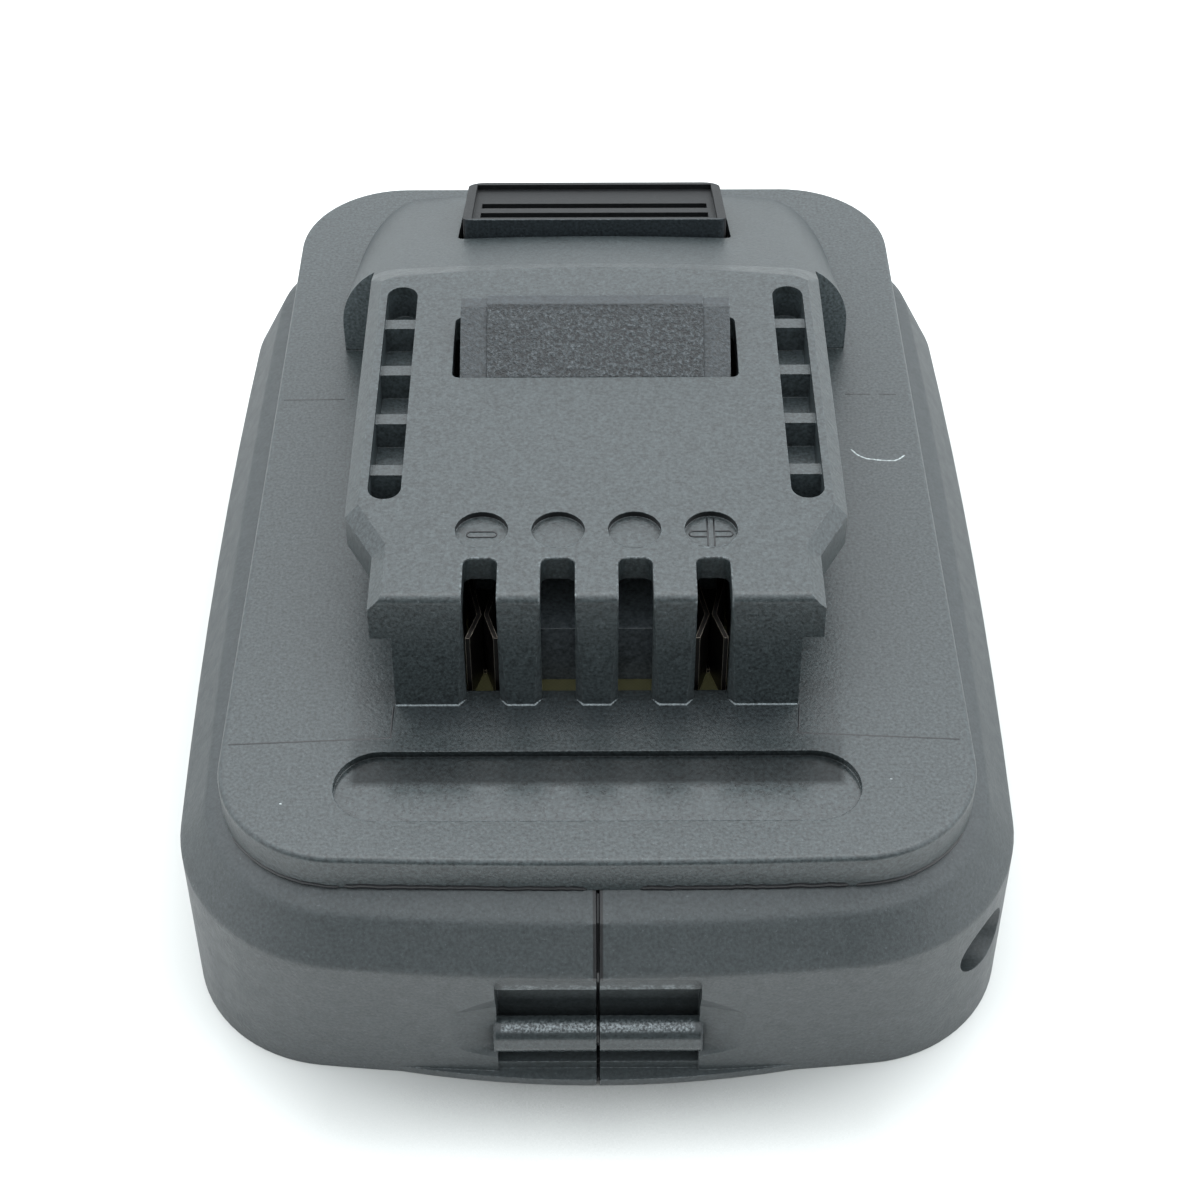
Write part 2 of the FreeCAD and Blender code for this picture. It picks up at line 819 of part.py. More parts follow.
def add_cover_bosses(body):
    front, rear = cover_screw_places()
    foot = size.boss_seat + size.boss_gap
    bosses = new_sketch(body, "bosses", "XY_Plane", foot)
    for x, y in front + rear:
        draw_circle(bosses, x, y, size.boss_radius)
    add_pad(body, bosses, size.housing_height + 1 - foot)
    pilots = new_sketch(body, "boss_pilots", "XY_Plane", foot - 1)
    for x, y in front + rear:
        draw_circle(pilots, x, y, size.screw_radius + size.hole_clearance)
    tip = cover_screw_seat() + size.cover_screw_length + 0.3
    cut_pocket(body, pilots, tip - foot + 1, reverse=True)

    board_bosses = new_sketch(body, "board_bosses", "XY_Plane", board_top)
    for x, y in board_screw_places():
        draw_circle(board_bosses, x, y, size.board_boss_radius)
    add_pad(body, board_bosses, deck_underside + 0.5 - board_top)
    board_pilots = new_sketch(body, "board_pilots", "XY_Plane", board_top - 1)
    for x, y in board_screw_places():
        draw_circle(board_pilots, x, y, size.board_screw_radius + size.hole_clearance)
    depth = size.board_screw_length - size.board_thickness + 1.3
    cut_pocket(body, board_pilots, depth, reverse=True)

    # ribs that the latch plate comes to rest against
    stops = new_sketch(body, "stops", "XY_Plane", latch_plate_top + size.stop_gap)
    for side in (1, -1):
        inner, outer = side * (web_inner - size.stop_width), side * (web_inner + 0.3)
        low, high = (inner, outer) if side > 0 else (outer, inner)
        draw_box(stops, low, high, size.stop_front, size.stop_front + size.stop_length)
    add_pad(body, stops, deck_underside + 0.5 - latch_plate_top - size.stop_gap)


def cover_screw_seat():
    return size.bay_height + size.screw_head_height


# Lower housing: the whole form is made once and then split at the middle into two halves
def make_housing_form():
    body = new_body("housing_form")
    corner = size.housing_corner_radius
    levels = [
        ("rim", zero, size.rim_inset, size.rim_corner_radius),
        ("shoulder", size.shoulder_height, zero, corner),
        ("crease", size.crease_height, size.crease_inset, corner - size.crease_inset),
        ("brim", size.housing_height, size.top_inset, corner - size.top_inset),
    ]
    sections = []
    for name, level, inset, corner in levels:
        sketch = new_sketch(body, name, "XY_Plane", level)
        draw_housing_outline(sketch, inset, corner)
        sections.append(sketch)
    loft = body.newObject("PartDesign::AdditiveLoft", "housing_loft")
    loft.Profile = sections[0]
    loft.Sections = sections[1:]
    loft.Ruled = True
    doc.recompute()

    cavity = new_sketch(body, "cavity", "XY_Plane", size.housing_height + 1)
    draw_box(cavity, -size.cavity_half_width, size.cavity_half_width, -size.cavity_front,
             size.cavity_rear, size.cavity_corner_radius)
    cut_pocket(body, cavity, size.housing_height + 1 - size.floor_height)

    # the thumb pad reaches further back than the cavity and sinks into a well of its own
    well = new_sketch(body, "pad_well", "XY_Plane", size.housing_height + 1)
    across = size.pad_half_width + size.pad_well_gap
    draw_box(well, -across, across, size.cavity_rear - 1, pad_space_rear)
    pressed = size.latch_plate_bottom - size.latch_travel
    cut_pocket(body, well, size.housing_height + 1 + size.pad_well_gap - pressed)

    add_floor_bosses(body)
    cut_pack_bay(body)
    cut_screw_holes(body)
    shape_front_window(body)
    return body


def block_screw_places():
    return [(side * size.block_screw_x, -size.block_screw_y) for side in (1, -1)]


def spring_places():
    return [(side * size.spring_place_x, size.spring_place_y) for side in (1, -1)]


def spigot_radius():
    return size.spring_outer_radius - size.spring_wire - size.spigot_gap


def add_floor_bosses(body):
    front, rear = cover_screw_places()
    under = size.floor_height - 0.5
    seats = new_sketch(body, "screw_seats", "XY_Plane", under)
    for x, y in rear:
        draw_circle(seats, x, y, size.boss_radius + 1)
    add_pad(body, seats, size.boss_seat - under)

    block_bosses = new_sketch(body, "block_bosses", "XY_Plane", under)
    for x, y in block_screw_places():
        draw_circle(block_bosses, x, y, size.block_boss_radius)
    add_pad(body, block_bosses, size.block_screw_tip + 1.5 - under)

    spigots = new_sketch(body, "spring_spigots", "XY_Plane", under)
    for x, y in spring_places():
        draw_circle(spigots, x, y, spigot_radius())
    add_pad(body, spigots, size.floor_height + size.spigot_length - under)

    catch_roof = new_sketch(body, "catch_roof", "XY_Plane", under)
    across = size.catch_half_width + size.catch_wall
    draw_box(catch_roof, -across, across, size.catch_front - size.catch_wall,
             size.catch_front + size.catch_length + size.catch_wall)
    add_pad(body, catch_roof, size.bay_height + size.catch_depth + size.catch_wall - under)

    side_boss = new_sketch(body, "side_boss", "YZ_Plane", -size.side_boss_reach)
    draw_circle(side_boss, size.side_rear_y, size.side_rear_height, size.side_boss_radius)
    add_pad(body, side_boss, size.side_boss_reach + size.cavity_half_width + 1)


def cut_pack_bay(body):
    # a T-shaped channel for the head of the pack, open at the rear
    bay = new_sketch(body, "pack_bay", "XZ_Plane", size.bay_front)
    neck, head = size.bay_neck_half_width, size.bay_head_half_width
    points = [
        (-neck, -1), (neck, -1), (neck, size.bay_lip), (head, size.bay_lip),
        (head, size.bay_height), (-head, size.bay_height), (-head, size.bay_lip),
        (-neck, size.bay_lip),
    ]
    draw_loop(bay, points)
    cut_pocket(body, bay, size.bay_front + size.housing_rear + 2)

    catch = new_sketch(body, "catch", "XY_Plane", size.bay_height - 1)
    draw_box(catch, -size.catch_half_width, size.catch_half_width, size.catch_front,
             size.catch_front + size.catch_length)
    cut_pocket(body, catch, size.catch_depth + 1, reverse=True)


def cut_screw_holes(body):
    front, rear = cover_screw_places()
    hole = size.screw_radius + size.hole_clearance

    counterbores = new_sketch(body, "counterbores", "XY_Plane", as_size(-1))
    for x, y in front:
        draw_circle(counterbores, x, y, size.counterbore_radius)
    cut_pocket(body, counterbores, cover_screw_seat() + 1, reverse=True)

    bay_counterbores = new_sketch(body, "bay_counterbores", "XY_Plane", size.bay_height - 1)
    for x, y in rear:
        draw_circle(bay_counterbores, x, y, size.counterbore_radius)
    cut_pocket(body, bay_counterbores, size.screw_head_height + 1, reverse=True)

    shanks = new_sketch(body, "shank_holes", "XY_Plane", cover_screw_seat() - 1)
    for x, y in front + rear:
        draw_circle(shanks, x, y, hole)
    cut_pocket(body, shanks, size.boss_seat - cover_screw_seat() + 2, reverse=True)

    sockets = new_sketch(body, "boss_sockets", "XY_Plane", size.housing_height + 1)
    for x, y in front:
        draw_circle(sockets, x, y, size.boss_radius + size.boss_gap)
    cut_pocket(body, sockets, size.housing_height + 1 - size.boss_seat)

    block_holes = new_sketch(body, "block_holes", "XY_Plane", size.bay_height - 1)
    for x, y in block_screw_places():
        draw_circle(block_holes, x, y, size.block_screw_radius + size.hole_clearance)
    cut_pocket(body, block_holes, size.block_screw_tip + 1.3 - size.bay_height, reverse=True)

    tab_slots = new_sketch(body, "tab_slots", "XY_Plane", size.bay_height - 1)
    half = size.blade_thickness / 2 + size.hole_clearance
    for side in (1, -1):
        draw_box(tab_slots, side * size.blade_x - half, side * size.blade_x + half,
                 -size.blade_front - size.hole_clearance,
                 size.tab_length - size.blade_front + size.hole_clearance)
    cut_pocket(body, tab_slots, size.floor_height - size.bay_height + 2, reverse=True)


def shape_front_window(body):
    # the scooped dish, the window with its bar, and the lip below
    r = size.dish_round
    reach = (size.dish_half_width * size.dish_half_width / size.dish_depth + size.dish_depth) / 2
    centre = -size.housing_front + size.dish_depth - reach
    deep = centre + reach
    dish = new_sketch(body, "dish", "YZ_Plane")
    points = [
        (centre, size.dish_bottom), (deep - r, size.dish_bottom), (deep, size.dish_bottom + r),
        (deep, size.dish_top), (deep - size.dish_depth - 0.4, size.shoulder_height),
        (centre, size.shoulder_height),
    ]
    draw_loop(dish, points, {1: (r, 1)})
    before = volume_of(body)
    groove = body.newObject("PartDesign::Groove", "dish_groove")
    groove.Profile = dish
    # the last edge of the dish profile is its upright axis
    groove.ReferenceAxis = (dish, ["Edge6"])
    groove.Angle = 360
    doc.recompute()
    if volume_of(body) >= before:
        raise ValueError("the dish cuts nothing")

    half = size.window_half_width
    floor = size.housing_front - size.window_depth
    window = new_sketch(body, "window", "XZ_Plane", floor)
    draw_box(window, -half, half, size.window_bottom, size.window_top)
    cut_pocket(body, window, size.window_depth + 2, reverse=True)

    rebate = new_sketch(body, "window_rebate", "XZ_Plane",
                        size.housing_front - size.window_rebate_depth)
    r = size.window_rebate_round
    top = size.window_top + size.window_rebate_height
    points = [
        (-half, size.window_top - 1), (half, size.window_top - 1), (half, top - r),
        (half - r, top), (r - half, top), (-half, top - r),
    ]
    draw_loop(rebate, points, {2: (r, 1), 4: (r, 1)})
    cut_pocket(body, rebate, size.window_rebate_depth + 2, reverse=True)

    lip = new_sketch(body, "front_lip", "XY_Plane")
    rim_bow = size.housing_bow_radius - size.rim_inset
    rim_front = size.housing_front - size.rim_inset
    across = size.lip_half_width
    end = rim_bow - root_of(rim_bow * rim_bow - across * across) - rim_front
    rise = end + size.lip_front
    radius = (across * across / rise + rise) / 2
    points = [(-across, end), (across, end), (across, end + 1.5), (-across, end + 1.5)]
    draw_loop(lip, points, {0: (radius, 1)})
    add_pad(body, lip, size.lip_thickness)

    strip = new_sketch(body, "strip", "XZ_Plane", rim_front - size.strip_recess)
    draw_box(strip, -half, half, size.lip_thickness, size.window_bottom + 0.5)
    cut_pocket(body, strip, size.strip_recess + 3, reverse=True)

    bar = new_sketch(body, "bar", "YZ_Plane")
    back = size.bar_radius - size.housing_front + 0.15
    points = [(back, size.bar_height + size.bar_radius), (back, size.bar_height - size.bar_radius)]
    draw_loop(bar, points, {0: (size.bar_radius, 1)})
    add_pad(body, bar, 2 * half + 0.6, both_ways=True)


def make_housing_halves(form):
    gap = size.seam_gap / 2
    far = size.housing_half_width + 2
    deep = size.housing_front + 2
    tall = size.housing_height + 2
    keep_left = block("left_side", -far, -gap, -deep, deep, -1, tall)
    keep_right = block("right_side", gap, far, -deep, deep, -1, tall)
    left = doc.addObject("Part::Common", "left_form")
    left.Base = form
    left.Tool = keep_left
    right = doc.addObject("Part::Common", "right_form")
    right.Base = form
    right.Tool = keep_right

    hole = size.screw_radius + size.hole_clearance
    left_tools = []
    right_tools = []
    for name, y, z in side_screw_places():
        tip = size.side_screw_reach + 0.3
        left_tools.append(cylinder(f"{name}_pilot", hole, tip, -tip, y, z, "x"))
        right_tools.append(cylinder(f"{name}_shank_hole", hole, side_right, 0, y, z, "x"))
        length = side_right - side_screw_seat()
        right_tools.append(cylinder(f"{name}_tunnel", size.tunnel_radius, length,
                                    side_screw_seat(), y, z, "x"))
    left_half = cut_away("housing_left", left, join("left_holes", left_tools))
    right_half = cut_away("housing_right", right, join("right_holes", right_tools))
    left_half.Label = "housing_left"
    right_half.Label = "housing_right"
    return left_half, right_half


def side_screw_places():
    return [("front", -size.side_front_y, size.side_front_height),
            ("rear", size.side_rear_y, size.side_rear_height)]


def side_screw_seat():
    return size.tunnel_bottom - size.screw_head_height


# Release latch: hook, connecting plate and thumb pad in one moulding
def make_release_latch():
    body = new_body("release_latch")
    plate = new_sketch(body, "plate", "XY_Plane", size.latch_plate_bottom)
    wide, narrow = size.latch_plate_half_width, size.pad_half_width
    shoulder, rear = size.latch_plate_shoulder, size.pad_rear
    points = [
        (-wide, size.latch_plate_front), (wide, size.latch_plate_front), (wide, shoulder),
        (narrow, shoulder), (narrow, rear), (-narrow, rear), (-narrow, shoulder), (-wide, shoulder),
    ]
    draw_loop(plate, points)
    add_pad(body, plate, size.latch_plate_thickness)

    # the ramp of the hook is slightly proud between two plain border strips
    ramp_foot = deck_top - size.hook_dip
    crest_front = size.hook_rear - size.hook_crest
    for name, drop, across in (
        ("hook_border", size.hook_border_drop, size.hook_half_width),
        ("hook_ramp", zero, size.hook_half_width - size.hook_border),
    ):
        hook = new_sketch(body, name, "YZ_Plane")
        points = [
            (size.hook_front, size.latch_plate_bottom), (size.hook_rear, size.latch_plate_bottom),
            (size.hook_rear, hook_top - drop), (crest_front, hook_top - drop),
            (size.hook_front, ramp_foot - drop),
        ]
        draw_loop(hook, points)
        add_pad(body, hook, 2 * across, both_ways=True)

    core = new_sketch(body, "hook_core", "XY_Plane", size.latch_plate_bottom)
    shell = size.hook_shell
    draw_box(core, shell - size.hook_half_width, size.hook_half_width - shell,
             size.hook_front + shell, size.hook_rear - shell)
    cut_pocket(body, core, ramp_foot - shell - size.latch_plate_bottom, reverse=True)

    pad_fall = tangent_of(size.pad_angle)
    pad_block = new_sketch(body, "pad", "YZ_Plane")
    pad_rear_top = pad_front_top - (size.pad_rear - size.pad_front) * pad_fall
    points = [
        (size.pad_front, size.latch_plate_bottom), (size.pad_rear, size.latch_plate_bottom),
        (size.pad_rear, pad_rear_top), (size.pad_front, pad_front_top),
    ]
    draw_loop(pad_block, points)
    add_pad(body, pad_block, 2 * size.pad_half_width, both_ways=True)
    dress_edges(body, "Fillet", "pad_front_corner", size.pad_rim, is_pad_front_corner)
    dress_edges(body, "Fillet", "pad_rear_corner", size.pad_rear_round, is_pad_rear_corner)

    def pad_level(y):
        return pad_front_top - (y - size.pad_front) * pad_fall

    recess = new_sketch(body, "pad_recess", "YZ_Plane")
    front = size.pad_front + size.pad_rim * 0.6
    rear = size.pad_rear - size.pad_rim
    points = [
        (front, pad_level(front) - size.pad_recess), (rear, pad_level(rear) - size.pad_recess),
        (rear, pad_level(rear) + 1), (front, pad_level(front) + 1),
    ]
    draw_loop(recess, points)
    cut_pocket(body, recess, 2 * (size.pad_half_width - size.pad_rim), both_ways=True)

    grooves = new_sketch(body, "pad_grooves", "YZ_Plane")
    floor = size.pad_recess + size.pad_groove_depth
    for number in range(2):
        front = size.pad_front + size.pad_groove_first + number * size.pad_groove_pitch
        rear = front + size.pad_groove_width
        points = [
            (front, pad_level(front) - floor), (rear, pad_level(rear) - floor),
            (rear, pad_level(rear)), (front, pad_level(front)),
        ]
        draw_loop(grooves, points)
    cut_pocket(body, grooves, 2 * (size.pad_half_width - size.pad_groove_inset), both_ways=True)

    spigots = new_sketch(body, "spigots", "XY_Plane", size.latch_plate_bottom - size.spigot_length)
    for x, y in spring_places():
        draw_circle(spigots, x, y, spigot_radius())
    add_pad(body, spigots, size.spigot_length + 0.5)
    return body


def is_pad_corner(points, middle, place):
    upright = abs(points[0].x - points[-1].x) < 1e-6 and abs(points[0].y - points[-1].y) < 1e-6
    corner = abs(abs(middle.x) - size.pad_half_width.value) < 1e-4
    return len(points) == 2 and upright and corner and abs(middle.y - place.value) < 1e-4


def is_pad_front_corner(points, middle):
    return is_pad_corner(points, middle, size.pad_front)


def is_pad_rear_corner(points, middle):
    return is_pad_corner(points, middle, size.pad_rear)


# Latch springs: one unbroken coil each, as arcs that follow the helix tangent to tangent
def helix_point(radius, rise, angle):
    return FreeCAD.Vector(radius * math.cos(angle), radius * math.sin(angle),
                          rise * angle / (2 * math.pi))


def helix_tangent(radius, rise, angle):
    along = FreeCAD.Vector(-radius * math.sin(angle), radius * math.cos(angle), rise / (2 * math.pi))
    return along.normalize()


def leg_arc(start, corner, end):
    # the arc that is tangent to two legs of equal length
    chord_middle = (start + end) * 0.5
    half_chord = (end - start).Length / 2
    height = (corner - chord_middle).Length
    turn = math.atan2(height, half_chord)
    share = math.tan(turn / 2) / math.tan(turn)
    return Part.Arc(start, chord_middle + (corner - chord_middle) * share, end)


def coil_wire(radius, rise, turns):
    steps = int(round(turns * 2))
    edges = []
    for number in range(steps):
        first = number * math.pi
        last = first + math.pi
        start, end = helix_point(radius, rise, first), helix_point(radius, rise, last)
        out, back = helix_tangent(radius, rise, first), helix_tangent(radius, rise, last)
        span = end - start
        both = out + back
        a = both.dot(both) - 4
        b = -2 * span.dot(both)
        c = span.dot(span)
        leg = (-b - math.sqrt(b * b - 4 * a * c)) / (2 * a)
        near, far = start + out * leg, end - back * leg
        middle = (near + far) * 0.5
        edges.append(leg_arc(start, near, middle).toShape())
        edges.append(leg_arc(middle, far, end).toShape())
    return Part.Wire(edges)


def wire_section(start, along, radius):
    # a round wire is drawn with eight flats, which keeps the facets of its long sweep few
    across = along.cross(FreeCAD.Vector(1, 0, 0)).normalize()
    other = along.cross(across)
    corners = []
    for number in range(8):
        turn = (number + 0.5) * math.pi / 4
        corners.append(start + across * (radius * math.cos(turn)) + other * (radius * math.sin(turn)))
    return Part.makePolygon(corners + corners[:1])


def make_springs():
    springs = []
    wire_radius = size.spring_wire.value / 2
    radius = size.spring_outer_radius.value - wire_radius
    height = size.latch_plate_bottom.value - size.floor_height.value
    turns = size.spring_turns.value
    tilt = size.spring_wire.value * 0.02
    rise = (height - size.spring_wire.value - tilt) / turns
    path = coil_wire(radius, rise, turns)
    profile = wire_section(helix_point(radius, rise, 0), helix_tangent(radius, rise, 0), wire_radius)
    coil = path.makePipeShell([profile], True, False)
    print("spring: least gap between turns", round(rise - size.spring_wire.value, 2), "mm")
    for side, (x, y) in zip(("right", "left"), spring_places()):
        spring = doc.addObject("Part::Feature", f"latch_spring_{side}")
        spring.Label = f"latch_spring_{side}"
        spring.Shape = coil
        spring.setExpression("Placement.Base.x", x.text)
        spring.setExpression("Placement.Base.y", y.text)
        spring.setExpression("Placement.Base.z",
                             (size.floor_height + size.spring_wire / 2 + tilt / 2).text)
        springs.append(spring)
    return springs


# Circuit board and the two tulip contacts that stand on it
def contact_legs(side):
    x = side * outer_slot_x
    return [(x, -size.contact_front_leg), (x, -size.contact_rear_leg)]


def make_circuit_board():
    body = new_body("circuit_board")
    outline = new_sketch(body, "outline", "XY_Plane", board_bottom)
    draw_box(outline, -size.board_half_width, size.board_half_width,
             size.board_gap - slot_wall_rear, -size.board_rear)
    add_pad(body, outline, size.board_thickness)
    holes = new_sketch(body, "holes", "XY_Plane", board_bottom - 1)
    for x, y in board_screw_places():
        draw_circle(holes, x, y, size.board_screw_radius + size.hole_clearance)
    for side in (1, -1):
        for x, y in contact_legs(side):
            draw_circle(holes, x, y, size.contact_leg_radius + size.hole_clearance)
        draw_circle(holes, side * inner_slot_x, -size.peg_place, size.peg_radius + size.hole_clearance)
    cut_pocket(body, holes, size.board_thickness + 2, reverse=True)
    return body


def make_contact_carrier():
    # a comb of dark plastic with a channel for each contact, on two pegs through the board
    body = new_body("contact_carrier")
    outline = new_sketch(body, "outline", "XY_Plane", board_top)
    across = size.carrier_half_width
    front = -size.carrier_front
    back = size.carrier_gap - size.contact_rear
    half = size.contact_half_width + size.carrier_gap
    points = [
        (across, front), (across, back + size.carrier_wall),
        (-across, back + size.carrier_wall), (-across, front),
    ]
    for side in (-1, 1):
        low, high = side * outer_slot_x - half, side * outer_slot_x + half
        points.extend([(low, front), (low, back), (high, back), (high, front)])
    draw_loop(outline, points)
    add_pad(body, outline, size.carrier_height)

    pegs = new_sketch(body, "pegs", "XY_Plane", board_bottom - size.contact_leg_drop)
    for side in (1, -1):
        draw_circle(pegs, side * inner_slot_x, -size.peg_place, size.peg_radius)
    add_pad(body, pegs, size.contact_leg_drop + size.board_thickness + 0.5)
    return body


def make_contact(label, side):
    body = new_body(label)
    x = side * outer_slot_x
    outer = size.contact_half_width
    metal = size.contact_metal
    base = new_sketch(body, "base", "XY_Plane", board_top)
    draw_box(base, x - outer, x + outer, -size.contact_straight_end, -size.contact_rear)
    add_pad(body, base, metal)

    # in plan each leaf runs straight, closes to the pinch and flares to its mouth
    leaves = new_sketch(body, "leaves", "XY_Plane", board_top)
    inner = outer - metal
    nip = size.contact_pinch_gap / 2
    route = [
        (inner, -size.contact_rear), (inner, -size.contact_straight_end),
        (nip, -size.contact_pinch), (inner - 0.2, -size.contact_front),
    ]
    for hand in (1, -1):
        near = [(x + hand * offset, y) for offset, y in route]
        far = [(x + hand * (offset + metal), y) for offset, y in reversed(route)]
        draw_loop(leaves, near + far)
    add_pad(body, leaves, size.contact_height)

    legs = new_sketch(body, "legs", "XY_Plane", board_bottom - size.contact_leg_drop)
    draw_circle(legs, x, -size.contact_rear_leg, size.contact_leg_radius)
    add_pad(body, legs, size.contact_leg_drop + size.board_thickness + metal / 2)

    toe = new_sketch(body, "toe", "XY_Plane", board_top)
    narrow = 2 * size.contact_leg_radius
    draw_box(toe, x - narrow, x + narrow, -size.contact_front_leg - narrow,
             -size.contact_straight_end + 0.5)
    add_pad(body, toe, metal)
    front_leg = new_sketch(body, "front_leg", "XY_Plane", board_bottom - size.contact_leg_drop)
    draw_circle(front_leg, x, -size.contact_front_leg, size.contact_leg_radius)
    add_pad(body, front_leg, size.contact_leg_drop + size.board_thickness + metal / 2)
    return body


# Terminal block in the pack bay, its two blades, their push-on terminals and the leads
def make_terminal_block():
    body = new_body("terminal_block")
    outline = new_sketch(body, "outline", "XY_Plane", block_bottom)
    draw_box(outline, -size.block_half_width, size.block_half_width,
             size.block_gap - size.bay_front, -size.block_rear)
    add_pad(body, outline, size.block_height)

    heads = new_sketch(body, "screw_heads", "XY_Plane", block_bottom - 1)
    shanks = new_sketch(body, "screw_shanks", "XY_Plane", block_bottom - 1)
    for x, y in block_screw_places():
        draw_circle(heads, x, y, size.block_screw_head_radius + 2 * size.hole_clearance)
        draw_circle(shanks, x, y, size.block_screw_radius + size.hole_clearance)
    cut_pocket(body, heads, size.block_screw_head_height + 1, reverse=True)
    cut_pocket(body, shanks, size.block_height + 2, reverse=True)

    half = size.blade_thickness / 2 + size.hole_clearance
    foot = size.bay_height - size.blade_edge - size.blade_width - size.hole_clearance
    slots = new_sketch(body, "blade_slots", "XY_Plane", foot)
    for side in (1, -1):
        draw_box(slots, side * size.blade_x - half, side * size.blade_x + half,
                 -size.blade_front - size.hole_clearance, 1 - size.block_rear)
    cut_pocket(body, slots, size.blade_width + size.blade_edge + 1, reverse=True)
    return body


def make_blade(label, side):
    body = new_body(label)
    half = size.blade_thickness / 2
    top = size.bay_height - size.blade_edge
    profile = new_sketch(body, "profile", "YZ_Plane", side * size.blade_x - half)
    tip = size.blade_thickness
    points = [
        (-size.blade_front, top - size.blade_width), (-size.blade_rear - tip, top - size.blade_width),
        (-size.blade_rear, top - size.blade_width + tip), (-size.blade_rear, top - tip),
        (-size.blade_rear - tip, top), (size.tab_length - size.blade_front, top),
        (size.tab_length - size.blade_front, size.tab_top), (-size.blade_front, size.tab_top),
    ]
    draw_loop(profile, points)
    add_pad(body, profile, size.blade_thickness)
    return body


def lead_start(side):
    return side * size.blade_x, size.tab_length / 2 - size.blade_front


def make_terminal(label, side):
    body = new_body(label)
    x, y = lead_start(side)
    sleeve = new_sketch(body, "sleeve", "XY_Plane", size.terminal_bottom)
    draw_box(sleeve, x - size.terminal_half_width, x + size.terminal_half_width,
             y - size.terminal_half_length, y + size.terminal_half_length)
    add_pad(body, sleeve, size.terminal_top - size.terminal_bottom)
    barrel = new_sketch(body, "barrel", "XY_Plane", size.terminal_top)
    draw_circle(barrel, x, y, size.barrel_radius)
    add_pad(body, barrel, size.barrel_height)
    bore = new_sketch(body, "bore", "XY_Plane", size.terminal_top + size.hole_clearance)
    draw_circle(bore, x, y, size.lead_radius + size.hole_clearance)
    cut_pocket(body, bore, size.barrel_height + 1, reverse=True)
    half = size.blade_thickness / 2 + size.hole_clearance
    slot = new_sketch(body, "tab_slot", "XY_Plane", size.terminal_bottom - 1)
    long_half = size.tab_length / 2 + size.hole_clearance
    draw_box(slot, x - half, x + half, y - long_half, y + long_half)
    cut_pocket(body, slot, size.tab_top + 0.1 - size.terminal_bottom + 1, reverse=True)
    return body


def make_lead(label, side):
    # straight up out of the barrel, across to the rear, and up to the underside of the board
    x, y = lead_start(side)
    r = size.lead_bend.value
    low = size.terminal_top.value + size.hole_clearance.value
    across = size.lead_run.value
    high = board_bottom.value
    level = high - size.lead_drop.value
    cut = r * (1 - math.sqrt(0.5))

    def at(run, height):
        return FreeCAD.Vector(0, run, height)

    edges = [
        Part.LineSegment(at(0, low), at(0, level - r)),
        Part.Arc(at(0, level - r), at(cut, level - cut), at(r, level)),
        Part.LineSegment(at(r, level), at(across - r, level)),
        Part.Arc(at(across - r, level), at(across - cut, level + cut), at(across, level + r)),
        Part.LineSegment(at(across, level + r), at(across, high)),
    ]
    path = Part.Wire([edge.toShape() for edge in edges])
    section = wire_section(at(0, low), FreeCAD.Vector(0, 0, 1), size.lead_radius.value)
    tube = path.makePipeShell([section], True, False)
    expected = Part.Face(section).Area * path.Length
    print(label, "volume against section times length", round(tube.Volume / expected, 4))
    lead = doc.addObject("Part::Feature", label)
    lead.Label = label
    lead.Shape = tube
    lead.setExpression("Placement.Base.x", x.text)
    lead.setExpression("Placement.Base.y", y.text)
    return lead


# Screws: identical ones form one group of separate solids
def make_upright_screws(label, places, radius, head_radius, head_height, seat, tip):
    screws = []
    for number, (x, y) in enumerate(places, start=1):
        head = cylinder(f"{label}_head_{number}", head_radius, head_height, x, y, seat - head_height)
        shank = cylinder(f"{label}_shank_{number}", radius, tip - seat + 0.2, x, y, seat - 0.2)
        screws.append(join(f"{label}_{number}", [head, shank]))
    return group_solids(label, screws)


def make_side_screws():
    screws = []
    for name, y, z in side_screw_places():
        seat = side_screw_seat()
        head = cylinder(f"side_head_{name}", size.screw_head_radius, size.screw_head_height,
                        seat, y, z, "x")
        shank = cylinder(f"side_shank_{name}", size.screw_radius, size.side_screw_reach + seat + 0.2,
                         -size.side_screw_reach, y, z, "x")
        screws.append(join(f"side_screw_{name}", [head, shank]))
    return group_solids("side_screws", screws)


def build_parts():
    form = make_housing_form()
    front, rear = cover_screw_places()
    parts = [make_upper_cover(), make_release_latch(), make_circuit_board(),
             make_contact_carrier(), make_terminal_block()]
    parts.extend(make_housing_halves(form))
    parts.extend(make_springs())
    for pole, side in (("negative", -1), ("positive", 1)):
        parts.append(make_contact(f"contact_{pole}", side))
        parts.append(make_blade(f"blade_{pole}", side))
        parts.append(make_terminal(f"terminal_{pole}", side))
        parts.append(make_lead(f"lead_{pole}", side))
    parts.append(make_upright_screws(
        "cover_screws", front + rear, size.screw_radius, size.screw_head_radius,
        size.screw_head_height, cover_screw_seat(), cover_screw_seat() + size.cover_screw_length))
    parts.append(make_upright_screws(
        "block_screws", block_screw_places(), size.block_screw_radius,
        size.block_screw_head_radius, size.block_screw_head_height,
        block_bottom + size.block_screw_head_height, size.block_screw_tip))
    parts.append(make_upright_screws(
        "board_screws", board_screw_places(), size.board_screw_radius,
        size.board_screw_head_radius, size.board_screw_head_height,
        board_bottom, board_bottom + size.board_screw_length))
    parts.append(make_side_screws())
    doc.recompute()
    return parts


def check_document(parts):
    for item in doc.Objects:
        if "Invalid" in item.State or "Error" in item.State:
            raise ValueError(f"{item.Label} did not compute: {item.State}")
    for part in parts:
        if part.Shape.isNull() or not part.Shape.isValid() or not part.Shape.Solids:
            raise ValueError(f"{part.Label} has no valid solid")


